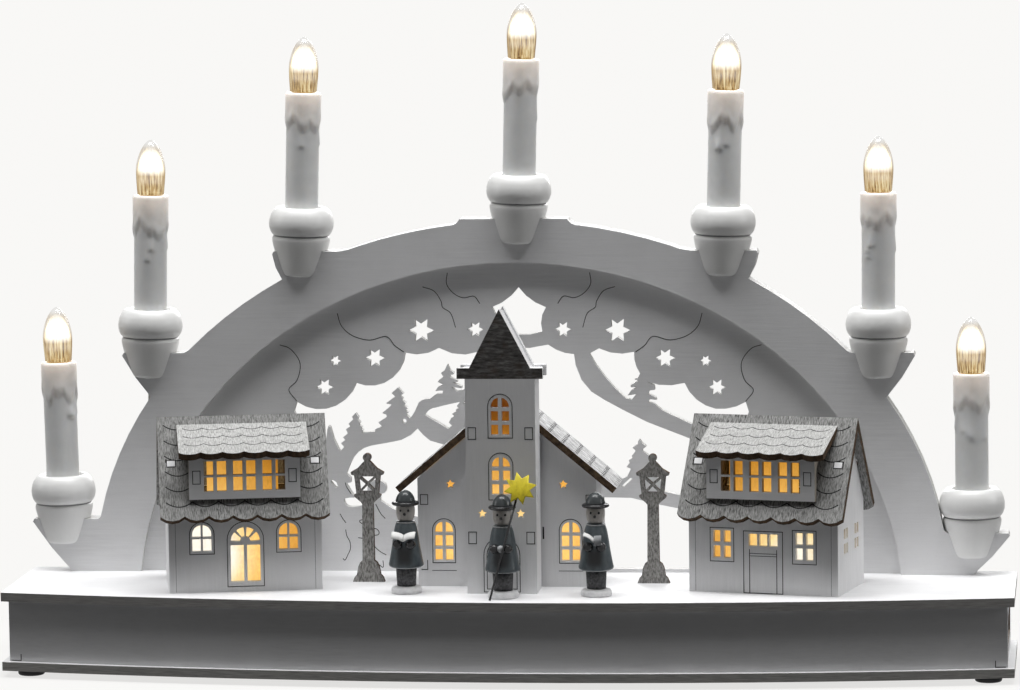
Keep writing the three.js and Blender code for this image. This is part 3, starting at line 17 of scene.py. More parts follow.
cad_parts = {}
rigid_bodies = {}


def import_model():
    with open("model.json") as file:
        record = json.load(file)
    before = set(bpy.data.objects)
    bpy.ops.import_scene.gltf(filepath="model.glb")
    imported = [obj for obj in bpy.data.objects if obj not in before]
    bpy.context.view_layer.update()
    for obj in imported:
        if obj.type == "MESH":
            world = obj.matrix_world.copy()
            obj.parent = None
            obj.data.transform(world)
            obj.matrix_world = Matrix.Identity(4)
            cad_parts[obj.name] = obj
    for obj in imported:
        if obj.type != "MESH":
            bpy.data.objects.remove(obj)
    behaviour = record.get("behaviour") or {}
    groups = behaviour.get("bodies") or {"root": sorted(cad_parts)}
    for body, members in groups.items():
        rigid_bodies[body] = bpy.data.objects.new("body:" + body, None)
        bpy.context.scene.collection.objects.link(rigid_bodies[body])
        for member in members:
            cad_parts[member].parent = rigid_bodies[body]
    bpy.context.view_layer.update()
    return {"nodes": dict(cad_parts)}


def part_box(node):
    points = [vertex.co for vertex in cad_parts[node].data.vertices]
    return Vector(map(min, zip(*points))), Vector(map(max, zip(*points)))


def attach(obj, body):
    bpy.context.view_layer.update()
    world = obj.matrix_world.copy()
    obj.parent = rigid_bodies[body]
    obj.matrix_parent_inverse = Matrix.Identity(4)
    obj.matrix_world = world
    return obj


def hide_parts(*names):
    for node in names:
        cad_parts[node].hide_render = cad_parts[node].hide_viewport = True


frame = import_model()
MM = 0.001

# %% [markdown]
# ## The stage of the part
# All the pieces above the base were laid out from the middle of the back edge of its top face. The
# same origin is kept here, in millimetres, so that the numbers can be compared with the part. A seat
# is a candle's place along the arch, the height of its ledge and its lean in degrees.

# %% Places shared by many pieces
STAGE = Vector((0, 43.65, 38.3))
ROOT = "lamp"
SEATS = [(-209.6, 24, -0.95), (-168, 100.3, 1.3), (-97.7, 146.5, 1.9), (1.7, 161, 1.8),
         (93.8, 146.5, 1.7), (163.4, 100.3, 0.3), (205.1, 19, -0.2)]
SIDES = ((-1, "left"), (1, "right"))
ARCH_MIDDLE, PANEL_FRONT = -6, -8
HOUSE_X, HOUSE_Y, HOUSE_TURN, HOUSE_DEPTH = 115.1, -68, 12.5, 43
RIDGE_Z, ROOF_PITCH, EAVE_PAST = 76.6, 56.6, 7
DORMER_FRONT, DORMER_PITCH, DORMER_EAVE_Z = -3.5, 21.4, 62.9
TOWER_FRONT, NAVE_FRONT, NAVE_DEPTH = -71.4, -50.5, 25
NAVE_APEX, NAVE_PITCH, NAVE_EAVE_HALF = 86.4, 40, 49.5
NAVE_ROOF_AHEAD, NAVE_ROOF_BEHIND = 3.5, 2.5
BASE_HALF, BASE_DEPTH, BASE_BOW, WALL_INSET = 225, 96, 21, 3
BOW_RADIUS = (BASE_HALF**2 + BASE_BOW**2) / (2 * BASE_BOW)
BOW_CENTRE = BOW_RADIUS - BASE_DEPTH


def stage_frame(x=0, y=0, z=0):
    """The frame of a piece that stands at a place of the stage: it turns local mm into metres."""
    return Matrix.Scale(MM, 4) @ Matrix.Translation(STAGE + Vector((x, y, z)))


def seat_frame(seat):
    x, ledge, lean = seat
    return stage_frame(x, ARCH_MIDDLE, ledge) @ Matrix.Rotation(math.radians(lean), 4, "Y")


def house_frame(side):
    turn = Matrix.Rotation(math.radians(-side * HOUSE_TURN), 4, "Z")
    return stage_frame(side * HOUSE_X, HOUSE_Y) @ turn


print("stage origin at", [round(v, 2) for v in STAGE], "mm")

# %% [markdown]
# ## Making meshes
# A finished piece is one plain mesh whose object stays at the origin, because the frame's bodies carry
# it from there. These helpers take points in the millimetres of a local frame, close the solid, turn
# its faces outward and hand the piece to a body.

# %% Pieces from points
def add_piece(name, points, faces, place, material, body=ROOT, smooth=True, slot=None, values=None):
    """Makes a piece from points in a local frame. values is a number per point for the material."""
    mesh = bpy.data.meshes.new(name)
    world = [place @ Vector(p) for p in points]
    mesh.from_pydata([tuple(p) for p in world], [], [tuple(f) for f in faces])
    if values is not None:
        mesh.attributes.new("tone", "FLOAT", "POINT").data.foreach_set("value", list(values))
    clean(mesh, smooth)
    return register(name, mesh, material, body)


def clean(mesh, smooth):
    shape = bmesh.new()
    shape.from_mesh(mesh)
    bmesh.ops.remove_doubles(shape, verts=shape.verts, dist=1e-6)
    bmesh.ops.recalc_face_normals(shape, faces=shape.faces)
    for face in shape.faces:
        face.smooth = smooth
    shape.to_mesh(mesh)
    shape.free()


def register(name, mesh, material, body):
    piece = bpy.data.objects.new(name, mesh)
    bpy.context.scene.collection.objects.link(piece)
    mesh.materials.clear()
    mesh.materials.append(material)
    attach(piece, body)
    return piece


def sharpen(piece, degrees=40):
    """Keeps the corners of a smooth piece that are sharper than an angle."""
    piece.data.set_sharp_from_angle(angle=math.radians(degrees))
    return piece


def joined(parts):
    """Joins (points, faces) shapes into one, with any values of theirs."""
    points, faces, values = [], [], []
    for part in parts:
        base = len(points)
        points += [tuple(p) for p in part[0]]
        faces += [tuple(i + base for i in face) for face in part[1]]
        values += part[2] if len(part) > 2 else [0.0] * len(part[0])
    return points, faces, values


def moved(part, place):
    return ([tuple(place @ Vector(p)) for p in part[0]], *part[1:])


print("piece helpers ready")

# %% Turned shapes, boxes and bars
def turned(profile, sides=64, radius_at=None):
    """A closed lathe shape about Z from (radius, height) pairs that start and end on the axis."""
    points, faces = [], []
    rows = []
    for r, z in profile:
        if r < 1e-9:
            rows.append([len(points)] * sides)
            points.append((0, 0, z))
            continue
        rows.append(list(range(len(points), len(points) + sides)))
        for k in range(sides):
            angle = 2 * math.pi * k / sides
            rr = radius_at(r, z, angle) if radius_at else r
            points.append((rr * math.cos(angle), rr * math.sin(angle), z))
    for low, high in zip(rows, rows[1:]):
        for k in range(sides):
            j = (k + 1) % sides
            face = list(dict.fromkeys([low[k], low[j], high[j], high[k]]))
            if len(face) > 2:
                faces.append(face)
    return points, faces


def ring_turned(profile, sides=64):
    """A lathe shape whose profile is a closed loop away from the axis."""
    return turned([*profile, profile[0]], sides)


def rounded(profile, steps=3, reach=0.35):
    """Rounds the corners of a profile with small curves, ends kept."""
    out = [profile[0]]
    for a, b, c in zip(profile, profile[1:], profile[2:]):
        pa, pb, pc = Vector(a), Vector(b), Vector(c)
        start, end = pb.lerp(pa, reach), pb.lerp(pc, reach)
        for i in range(steps + 1):
            t = i / steps
            p = start.lerp(pb, t).lerp(pb.lerp(end, t), t)
            out.append((max(p.x, 0), p.y))
    out.append(profile[-1])
    return out


def box_shape(x0, x1, y0, y1, z0, z1):
    points = [(x, y, z) for x in (x0, x1) for y in (y0, y1) for z in (z0, z1)]
    return points, [(0, 1, 3, 2), (4, 6, 7, 5), (0, 4, 5, 1), (2, 3, 7, 6), (0, 2, 6, 4), (1, 5, 7, 3)]


def ball_shape(radius, centre, sides):
    profile = [(radius * math.cos(math.radians(t)), radius * math.sin(math.radians(t)))
               for t in range(-90, 91, 10)]
    profile[0], profile[-1] = (0, -radius), (0, radius)
    return moved(turned(profile, sides), Matrix.Translation(centre))


def bar_shape(start, end, radius, sides):
    """A round bar between two places."""
    a, b = Vector(start), Vector(end)
    length = (b - a).length
    profile = [(0, 0), (radius, 0), (radius, length), (0, length)]
    place = Matrix.Translation(a) @ (b - a).to_track_quat("Z", "Y").to_matrix().to_4x4()
    return moved(turned(profile, sides), place)


print("lathe, box, ball and bar ready")

# %% Strips and curves
def ribbon_shape(path, width, low, high, closed=False):
    """A flat strip along a path in x and y, from z = low to high, with mitred bends."""
    line = [Vector(p[:2]) for p in path]
    count = len(line)
    rims = []
    for i, p in enumerate(line):
        before = line[i - 1] if closed or i else None
        after = line[(i + 1) % count] if closed or i < count - 1 else None
        steps = [(p - before).normalized()] if before is not None else []
        steps += [(after - p).normalized()] if after is not None else []
        along = sum(steps, Vector((0, 0))).normalized()
        side = Vector((-along.y, along.x))
        stretch = 1 / max(0.5, side.dot(Vector((-steps[0].y, steps[0].x))))
        rims.append([p + side * width / 2 * stretch, p - side * width / 2 * stretch])
    points = [(*q, z) for pair in rims for q in pair for z in (low, high)]
    faces = []
    for i in range(count if closed else count - 1):
        a, b = 4 * i, 4 * ((i + 1) % count)
        faces += [(a + 1, a + 3, b + 3, b + 1), (a, b, b + 2, a + 2), (a, a + 1, b + 1, b),
                  (a + 2, b + 2, b + 3, a + 3)]
    if not closed:
        last = 4 * (count - 1)
        faces += [(0, 2, 3, 1), (last, last + 1, last + 3, last + 2)]
    return points, faces


def smooth_path(path, steps=6):
    """A curve through the places of a path."""
    line = [Vector(p) for p in path]
    ends = [line[0] * 2 - line[1], *line, line[-1] * 2 - line[-2]]
    out = []
    for a, b, c, d in zip(ends, ends[1:], ends[2:], ends[3:]):
        for i in range(steps):
            t = i / steps
            out.append(0.5 * ((2 * b) + (c - a) * t + (2 * a - 5 * b + 4 * c - d) * t * t
                              + (3 * b - a - 3 * c + d) * t**3))
    return [tuple(p) for p in [*out, line[-1]]]


print("strips and curves ready")

# %% [markdown]
# ## Building materials
# Every surface is a node tree, so that it can be reused at any size: it reads Object coordinates, which
# are metres in the frame, and mixes noise at the real scale of grain, brush marks or dust. Sheet pieces
# are darker on the cut edges, where the laser has burnt the wood, so the tree compares each face with
# the direction in which its sheet looks.

# %% Helper for materials
FACE_LIMIT = 0.6


class Surface:
    """A material that is built one node at a time, from its coordinates to its Principled shader."""

    def __init__(self, name):
        self.material = bpy.data.materials.new(name)
        self.material.use_nodes = True
        self.tree = self.material.node_tree
        self.shader = self.tree.nodes["Principled BSDF"]
        self.output = self.tree.nodes["Material Output"]
        self.place = self.add("ShaderNodeTexCoord").outputs["Object"]

    def add(self, kind, inputs=None, **settings):
        node = self.tree.nodes.new(kind)
        for key, value in settings.items():
            setattr(node, key, value)
        for key, value in (inputs or {}).items():
            self.feed(node.inputs[key], value)
        return node

    def feed(self, socket, value):
        if isinstance(value, bpy.types.NodeSocket):
            self.tree.links.new(value, socket)
        else:
            socket.default_value = value

    def set(self, **values):
        for key, value in values.items():
            self.feed(self.shader.inputs[key.replace("_", " ")], value)
        return self

    def noise(self, scale, detail=4, stretch=(1, 1, 1), turn=0.0, roughness=0.55, warp=0.0):
        straight = self.add("ShaderNodeMapping", {"Vector": self.place, "Rotation": (0, 0, turn)})
        mapping = self.add("ShaderNodeMapping", {"Vector": straight.outputs[0], "Scale": stretch})
        return self.add("ShaderNodeTexNoise", {"Vector": mapping.outputs[0], "Scale": scale,
                                               "Detail": detail, "Roughness": roughness,
                                               "Distortion": warp}).outputs["Fac"]

    def ramp(self, value, stops):
        ramp = self.add("ShaderNodeValToRGB", {"Fac": value})
        elements = ramp.color_ramp.elements
        while len(elements) < len(stops):
            elements.new(0.5)
        for element, (position, color) in zip(elements, stops):
            element.position = position
            element.color = color if len(color) == 4 else (*color, 1)
        return ramp.outputs["Color"]

    def math(self, operation, a, b=0.0, clamp=False):
        node = self.add("ShaderNodeMath", {0: a, 1: b}, operation=operation, use_clamp=clamp)
        return node.outputs[0]

    def between(self, value, low, high, to_low=0.0, to_high=1.0):
        """Maps a value from one range to another, and holds it inside."""
        node = self.add("ShaderNodeMapRange", {"Value": value, "From Min": low, "From Max": high,
                                               "To Min": to_low, "To Max": to_high})
        return node.outputs["Result"]

    def mix(self, factor, a, b):
        return self.add("ShaderNodeMix", {0: factor, 6: a, 7: b}, data_type="RGBA").outputs[2]

    def bump(self, height, strength=0.2, distance=0.0002):
        self.set(Normal=self.add("ShaderNodeBump", {"Height": height, "Strength": strength,
                                                    "Distance": distance}).outputs[0])
        return self

    def axis(self, name):
        return self.add("ShaderNodeSeparateXYZ", {0: self.place}).outputs[name]

    def attribute(self, name):
        return self.add("ShaderNodeAttribute", attribute_name=name).outputs["Fac"]

    def facing(self, direction):
        """1 on the faces that look along a direction or against it, 0 on the edges beside them."""
        normal = self.add("ShaderNodeNewGeometry").outputs["True Normal"]
        dot = self.add("ShaderNodeVectorMath", {0: normal, 1: direction}, operation="DOT_PRODUCT")
        return self.math("GREATER_THAN", self.math("ABSOLUTE", dot.outputs["Value"]), FACE_LIMIT)

    def distance_to(self, place):
        gap = self.add("ShaderNodeVectorMath", {0: self.place, 1: tuple(place)}, operation="DISTANCE")
        return gap.outputs["Value"]


def grey(value):
    """A grey that is very slightly cool."""
    return (value, value, value * 1.01, 1)


def scaled(color, factor):
    return (*(factor * v for v in color[:3]), 1)


print("material helper ready")

# %% [markdown]
# ## White paint on plywood
# The base, the arch, the panel and the walls are plywood under one thin coat of matt white. It lets the
# grain show as faint long streaks, and it is slightly uneven where it soaked in. Cut edges carry less
# paint, so they are a little darker, and brown where nobody painted them.

# %% Painted plywood
UP_GRAIN, ACROSS_GRAIN, END_GRAIN = (1, 1, 0.06), (0.06, 1, 1), (1, 0.06, 1)


def painted_ply(name, facing, grain=UP_GRAIN, turn=0.0, white=0.8, edge=(0.62, 0.61, 0.59, 1)):
    """White paint whose grain runs one way. Where edge is a colour, the cut faces are bare wood."""
    s = Surface(name)
    streaks = s.noise(900, 5, grain, turn, 0.6)
    clouds = s.noise(35, 3)
    tone = s.mix(s.between(streaks, 0.3, 0.7), grey(white * 0.90), grey(white))
    tone = s.mix(s.between(clouds, 0.35, 0.65), tone, grey(white * 1.02))
    flecks = s.noise(2600, 2)
    tone = s.mix(s.between(flecks, 0.66, 0.72, 0, 0.35), tone, grey(white * 0.7))
    if edge:
        upright = facing[1] > FACE_LIMIT
        layers = s.noise(700, 2, (0.2, 9, 0.2) if upright else (0.2, 0.2, 9))
        bare = s.mix(s.between(layers, 0.4, 0.6), scaled(edge, 0.6), edge)
        tone = s.mix(s.facing(facing), bare, tone)
    s.set(Base_Color=tone, Roughness=s.between(clouds, 0.3, 0.7, 0.55, 0.68), Specular_IOR_Level=0.3)
    return s.bump(streaks, 0.5, 0.00012).material


print("painted plywood ready")

# %% Every painted sheet
FRONT, TOP, END = (0, 1, 0), (0, 0, 1), (1, 0, 0)
RING_EDGE, PANEL_EDGE, DORMER_EDGE = (0.8, 0.8, 0.79, 1), (0.7, 0.69, 0.67, 1), (0.45, 0.4, 0.34, 1)
TOP_EDGE, BOTTOM_EDGE, WINDOW_EDGE = (0.36, 0.35, 0.34, 1), (0.5, 0.49, 0.47, 1), (0.2, 0.12, 0.06, 1)
paints = {
    "arch_ring_front": painted_ply("arch_front_paint", FRONT, ACROSS_GRAIN, edge=RING_EDGE),
    "silhouette_panel": painted_ply("panel_paint", FRONT, ACROSS_GRAIN, edge=PANEL_EDGE),
    "arch_ring_back": painted_ply("arch_back_paint", FRONT, ACROSS_GRAIN, edge=RING_EDGE),
    # painted light: the top plate is a slightly lighter white than the other sheets
    "base_top": painted_ply("base_top_lit_paint", TOP, ACROSS_GRAIN, white=0.82, edge=TOP_EDGE),
    "base_bottom": painted_ply("base_bottom_paint", TOP, ACROSS_GRAIN, edge=BOTTOM_EDGE),
    # painted shade: the bowed front is a darker white than the other sheets
    "base_front": painted_ply("base_front_shaded_paint", FRONT, ACROSS_GRAIN, white=0.72),
    "base_back": painted_ply("base_back_paint", FRONT, ACROSS_GRAIN),
    "base_end_left": painted_ply("base_left_paint", END, END_GRAIN),
    "base_end_right": painted_ply("base_right_paint", END, END_GRAIN, edge=WINDOW_EDGE),
    "church_nave": painted_ply("nave_paint", FRONT, edge=None),
    "church_tower": painted_ply("tower_paint", FRONT, edge=None),
}
for side, name in SIDES:
    turn = math.radians(side * HOUSE_TURN)
    way = (math.sin(turn), math.cos(turn), 0)
    walls = painted_ply(f"house_{name}_paint", way, turn=turn, edge=None)
    dormer = painted_ply(f"dormer_{name}_paint", way, ACROSS_GRAIN, turn, edge=DORMER_EDGE)
    paints |= {f"house_{name}_walls": walls, f"house_{name}_dormer": dormer}


def paint_node(node, material):
    mesh = frame["nodes"][node].data
    if len(mesh.materials) == 0:
        mesh.materials.append(material)
    for i in range(len(mesh.materials)):
        mesh.materials[i] = material


for node, material in paints.items():
    paint_node(node, material)
print(len(paints), "painted sheets and house walls")

# %% [markdown]
# ## Stained and scorched wood
# The roofs are stained grey so thinly that the dark grain shows as short streaks. Their eaves are
# scorched brown where the laser cut the shingles. The spire and the lamp posts are darker.

# %% Stained wood
SCORCH, POST_SCORCH = (0.03, 0.018, 0.01, 1), (0.03, 0.014, 0.006, 1)


def stained(name, facing, light, dark, grain, scorch=SCORCH, turn=0.0, mottle=0.5, streak_scale=2600):
    """Streaks from dark to light on the faces that look along facing, and scorched edges beside them."""
    s = Surface(name)
    streaks = s.noise(streak_scale, 6, grain, turn, 0.62)
    broad = s.noise(60, 4, (1, 1, 0.5), turn)
    middle = tuple(0.45 * d + 0.55 * l for d, l in zip(dark, light))
    tone = s.ramp(s.between(streaks, 0.36, 0.64), [(0, dark), (0.5, middle), (1, light)])
    tone = s.mix(s.between(broad, 0.35, 0.7, 0, mottle), tone, scaled(light, 0.55))
    burnt = s.mix(s.between(s.noise(500, 3), 0.4, 0.65), scorch, scaled(scorch, 2.6))
    s.set(Base_Color=s.mix(s.facing(facing), burnt, tone), Roughness=0.82, Specular_IOR_Level=0.2)
    return s.bump(streaks, 0.5, 0.00015).material


print("stained wood ready")

# %% Roofs of the houses
def slope_normal(side, pitch_degrees, way=1):
    """The outward direction of a house's roof slope in the frame."""
    pitch, turn = math.radians(pitch_degrees), math.radians(-side * HOUSE_TURN)
    normal = Vector((0, -way * math.sin(pitch), math.cos(pitch)))
    normal.rotate(Matrix.Rotation(turn, 3, "Z"))
    return tuple(normal)


ROOF_LIGHT, ROOF_DARK = (0.47, 0.47, 0.46, 1), (0.055, 0.054, 0.052, 1)
LID_LIGHT, LID_DARK = (0.62, 0.62, 0.61, 1), (0.26, 0.26, 0.25, 1)
for side, name in SIDES:
    style = dict(grain=(1, 0.16, 0.16), turn=math.radians(side * HOUSE_TURN))
    for leaf, way in (("front", 1), ("back", -1)):
        stain = stained(f"roof_{leaf}_{name}", slope_normal(side, ROOF_PITCH, way), ROOF_LIGHT, ROOF_DARK,
                        **style)
        paint_node(f"house_{name}_roof_{leaf}", stain)
    lid = stained(f"dormer_roof_{name}", slope_normal(side, DORMER_PITCH), LID_LIGHT, LID_DARK, mottle=0.25,
                  **style)
    paint_node(f"house_{name}_dormer_roof", lid)
print("six roof leaves stained")

# %% Roof of the nave and lamp posts
def nave_roof_material():
    """Both slopes whitish grey, the gable edges scorched brown."""
    s = Surface("nave_roof_stain")
    streaks = s.noise(1300, 6, (0.14, 1, 0.14), 0.0, 0.6)
    greys = [(0, (0.18, 0.18, 0.18)), (0.5, (0.46, 0.46, 0.46)), (1, (0.72, 0.72, 0.72))]
    tone = s.ramp(s.between(streaks, 0.38, 0.62), greys)
    burn = s.mix(s.between(s.noise(420, 4), 0.35, 0.7), (0.035, 0.022, 0.014, 1), (0.13, 0.085, 0.05, 1))
    s.set(Base_Color=s.mix(s.facing(FRONT), tone, burn), Roughness=0.8, Specular_IOR_Level=0.2)
    return s.bump(streaks, 0.5, 0.00015).material


paint_node("church_nave_roof", nave_roof_material())
for side, name in SIDES:
    post = stained(f"lamp_post_{name}_stain", FRONT, (0.46, 0.45, 0.43, 1), (0.10, 0.095, 0.09, 1),
                   (1, 1, 0.4), POST_SCORCH, mottle=0.3, streak_scale=1400)
    paint_node(f"lamp_post_{name}", post)
print("nave roof and two posts stained")

# %% Spire
def spire_material():
    """The front of the front plate is dark with level grain, and all the rest is white."""
    s = Surface("spire_stain")
    streaks = s.noise(1100, 6, (0.22, 1, 1), 0.0, 0.65)
    darks = [(0, (0.025, 0.023, 0.022)), (0.5, (0.10, 0.096, 0.092)), (1, (0.25, 0.245, 0.24))]
    dark = s.ramp(s.between(streaks, 0.3, 0.72), darks)
    brown = s.mix(s.between(s.noise(180, 3), 0.5, 0.75, 0, 0.6), dark, (0.07, 0.045, 0.03, 1))
    pale = s.mix(s.between(streaks, 0.35, 0.65), grey(0.7), grey(0.82))
    first = s.math("LESS_THAN", s.axis("Y"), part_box("church_spire")[0].y + 0.3 * MM)
    s.set(Base_Color=s.mix(first, pale, brown), Roughness=0.85, Specular_IOR_Level=0.15)
    return s.bump(streaks, 0.6, 0.0002).material


paint_node("church_spire", spire_material())
print("spire stained")

# %% [markdown]
# ## Supply parts
# What powers the lamp is black moulded plastic with a fine grain, two cells in plain metal jackets, a
# white slider and cloth-like insulated leads. They are seen through the window, and when the cover
# hangs open.

# %% Plastic, metal and wire
def moulded(name, color, roughness, grain_scale=1800, depth=0.15):
    s = Surface(name)
    grain = s.noise(grain_scale, 3)
    wear = s.noise(90, 4)
    s.set(Base_Color=s.mix(s.between(wear, 0.3, 0.75), color, scaled(color, 1.25)),
          Roughness=s.between(wear, 0.3, 0.7, roughness * 0.9, roughness * 1.1))
    return s.bump(grain, depth, 0.00008).material


COPPER_FROM = 0.2015


def cell_jacket():
    """Brushed steel, with a copper band past one place of the frame."""
    s = Surface("cell_jacket")
    band = s.math("GREATER_THAN", s.axis("X"), COPPER_FROM)
    brushed = s.noise(2400, 3, (0.02, 1, 1))
    steel = s.mix(s.between(brushed, 0.3, 0.7), (0.46, 0.48, 0.5, 1), (0.62, 0.63, 0.65, 1))
    s.set(Base_Color=s.mix(band, steel, (0.55, 0.34, 0.12, 1)), Metallic=0.85,
          Roughness=s.between(brushed, 0.3, 0.7, 0.25, 0.4))
    return s.bump(brushed, 0.1, 0.00005).material


for node in ("battery_tray", "battery_cover"):
    paint_node(node, moulded(f"{node}_plastic", (0.025, 0.025, 0.028, 1), 0.5))
paint_node("switch_slider", moulded("slider_plastic", (0.72, 0.72, 0.7, 1), 0.35))
for node in ("aa_cell_1", "aa_cell_2"):
    paint_node(node, cell_jacket())
paint_node("wiring_loom", moulded("loom_insulation", (0.62, 0.6, 0.55, 1), 0.5, 900, 0.3))
print("supply parts finished")

# %% [markdown]
# ## Engraved lines
# The laser also scores the front of the sheets: outlines round the windows and doors, the hems of the
# clouds, a few twigs, and the tabs where the sheets lock together. A score is a thin burnt line, so each
# is a dark ribbon a few hundredths of a millimetre proud, closed like every other piece.

# %% Scored lines
def burnt_line(name, dark, light):
    s = Surface(name)
    s.set(Base_Color=s.mix(s.between(s.noise(1500, 3), 0.35, 0.7), grey(dark), grey(light)), Roughness=0.9,
          Specular_IOR_Level=0.1)
    return s.material


SCORE = burnt_line("laser_score", 0.012, 0.06)
FAINT = burnt_line("faint_joint", 0.20, 0.30)
LINE = (0.34, -0.05, 0.05)


def front_plane(place, y):
    """The front of an upright sheet: drawn in x and z, with the ribbons standing out towards -Y."""
    return place @ Matrix.Translation((0, y, 0)) @ Matrix.Rotation(math.radians(90), 4, "X")


def frame_line(x0, x1, z0, z1):
    return ribbon_shape([(x0, z0), (x1, z0), (x1, z1), (x0, z1)], *LINE, closed=True)


def arched_line(middle, half, low, high, steps=14):
    spring = high - half
    head = [(middle + half * math.cos(math.pi * i / steps), spring + half * math.sin(math.pi * i / steps))
            for i in range(steps + 1)]
    return ribbon_shape([(middle + half, low), *head, (middle - half, low)], *LINE, closed=True)


def open_line(path, curved=True, width=LINE[0]):
    return ribbon_shape(smooth_path(path) if curved else path, width, *LINE[1:])


def add_scores(name, shapes, place, y, material=SCORE):
    """Joins some ribbons into one piece on the front of a sheet."""
    return add_piece(name, *joined(shapes)[:2], front_plane(place, y), material, smooth=False)


print("two kinds of line,", LINE[0], "mm wide")

# %% Lines of the panel
CLOUD_LINES = [
    [(-109.5, 103.6), (-105, 102), (-101.2, 97.5), (-100.3, 93.1), (-102, 87.3), (-105.7, 83.1),
     (-102.2, 78)],
    [(-82.9, 118), (-81, 112.2), (-76, 107.8), (-68.3, 105.8), (-60.6, 107.4), (-56.8, 103.3),
     (-52.7, 100.4)],
    [(-43.7, 130), (-38.5, 128.1), (-35.4, 123.6), (-34.6, 120.6), (-31, 117.9), (-28.9, 111.5)],
    [(-32.3, 136.4), (-32.7, 131.3), (-29.6, 127.1), (-25.2, 125), (-20.4, 125.7), (-17.7, 122.4)],
]
TWIGS = [
    [(-78.9, 40.6), (-78.5, 38.9), (-77.3, 37), (-76.4, 35.5)],
    [(-65.1, 30.8), (-63.9, 28.3), (-62.5, 25.9), (-60.8, 24.2)],
    [(-66.4, 19.5), (-65, 19.4), (-63.8, 18.1), (-64.2, 16.7), (-66.4, 16.4)],
    [(-71.2, 23.5), (-72.4, 23.3), (-72.5, 22.5), (-71.4, 21.7)],
    [(-73.5, 15.3), (-71.3, 15)],
    [(-66.4, 12.1), (-65.1, 10.4), (-63, 8.7), (-60.6, 7.4)],
    [(-65.5, 4.1), (-63.8, 2.8), (-62.4, 1.7), (-62, 2.6), (-62.2, 4.8)],
    [(-81.6, 26.3), (-80.4, 24.1), (-78.9, 22.1)],
    [(-79.1, 19), (-78.6, 16.1), (-77.2, 13.2), (-77.1, 10.1), (-78.3, 7.4), (-79.6, 5), (-80.6, 5.7)],
]
PANEL_SHIFT = 1.6
hems = [[(way * x + PANEL_SHIFT, z) for x, z in line] for way in (1, -1) for line in CLOUD_LINES]
add_scores("panel_scores", [open_line(line) for line in [*hems, *TWIGS]], stage_frame(), PANEL_FRONT)
print(len(hems), "cloud hems and", len(TWIGS), "twigs")

# %% Lines of the houses
arches = [arched_line(x, 5.45, 17.2, 31.6) for x in (-19.3, 19.3)]
add_scores("house_left_scores", [*arches, arched_line(0, 8.1, 2.3, 31.4)], house_frame(-1), 0)
windows = [frame_line(x - 5.4, x + 5.4, 13.9, 28.8) for x in (-18.8, 18.8)]
posts = [open_line([(x, 0.4), (x, 19.8)], False) for x in (-6.2, 6.2)]
bars = [open_line([(-6.2, z), (6.2, z)], False, 0.25) for z in (16.8, 17.9)]
door = [frame_line(-8.9, 8.9, 0.3, 27.8), *posts, *bars]
add_scores("house_right_scores", [*windows, *door], house_frame(1), 0)
for side, name in SIDES:
    corners = [open_line([(x, 0.4), (x, 37)], False, 0.2) for x in (-31, 31)]
    add_scores(f"house_{name}_corner_joints", corners, house_frame(side), 0, FAINT)
    tabs = [frame_line(x - 1.65, x + 1.65, 49.2, 55) for x in (-21.3, 21.3)]
    add_scores(f"dormer_{name}_scores", tabs, house_frame(side), DORMER_FRONT)
print(len(arches) + len(windows), "windows outlined on the houses")

# %% Lines of the church
arches = [arched_line(*sides) for sides in
          ((0, 5.4, 69.4, 88.9), (0, 5.4, 41.9, 62.8), (0, 8, 0.9, 25.4), (0, 6.6, 2.2, 24))]
tabs = [frame_line(x - 1.7, x + 1.7, z - 2.6, z + 2.6)
        for x, z in ((-12.6, 71.4), (12.6, 71.4), (-12.9, 25), (12.9, 25))]
add_scores("tower_scores", [*arches, *tabs], stage_frame(), TOWER_FRONT)
windows = [arched_line(x, 5.1, 10.6, 30.4) for x in (-28.4, 28.4)]
sills = [open_line([(x - 5.5, 7.1), (x + 5.5, 7.1)], False, 0.25) for x in (-28.4, 28.4)]
tabs = [frame_line(side * 37.1 - 1.65, side * 37.1 + 1.65, 36.8, 41.2) for side in (-1, 1)]
hooks = [open_line([(side * 38.7, 7.5), (side * 35.9, 7.5), (side * 35.9, 11.8)], False)
         for side in (-1, 1)]
tick = open_line([(16.2, 26.9), (16.2, 21.4)], False, 0.7)
add_scores("nave_scores", [*windows, *sills, *tabs, *hooks, tick], stage_frame(), NAVE_FRONT)
print(len(arches), "arches on the tower and", len(windows), "on the nave")

# %% [markdown]
# ## Joint lines of the base
# The walls lock into each other with small fingers, which show as short dark ticks near the end of the
# bowed front. The front is bowed, so each tick lies in the plane that touches the bow where it is.

# %% Ticks on the base
def bow_frame(x, z):
    """A place on the bowed front wall, with local y up and local z out of the wall."""
    y = BOW_CENTRE - math.sqrt((BOW_RADIUS - WALL_INSET) ** 2 - x**2)
    turn = math.atan2(x, BOW_CENTRE - y)
    return front_plane(stage_frame(x, y, z) @ Matrix.Rotation(turn, 4, "Z"), 0)


TICK_X, TICK_Z = 216.7, -30.9
corner_ticks = [moved(open_line([(0, 2.9), (0, 0), (side * 4.6, 0)], False),
                      bow_frame(side * TICK_X, TICK_Z)) for side in (-1, 1)]
add_piece("base_front_scores", *joined(corner_ticks)[:2], Matrix.Identity(4), SCORE, smooth=False)
end_ticks = [open_line([(y, -27.6), (y, -25.2)], False) for y in (-14.5, -50.5)]
end_place = stage_frame(BASE_HALF - WALL_INSET) @ Matrix.Rotation(math.radians(90), 4, "Z")
add_scores("base_end_scores", end_ticks, end_place, 0)
print(len(corner_ticks), "ticks on the bowed front and", len(end_ticks), "on the right end")

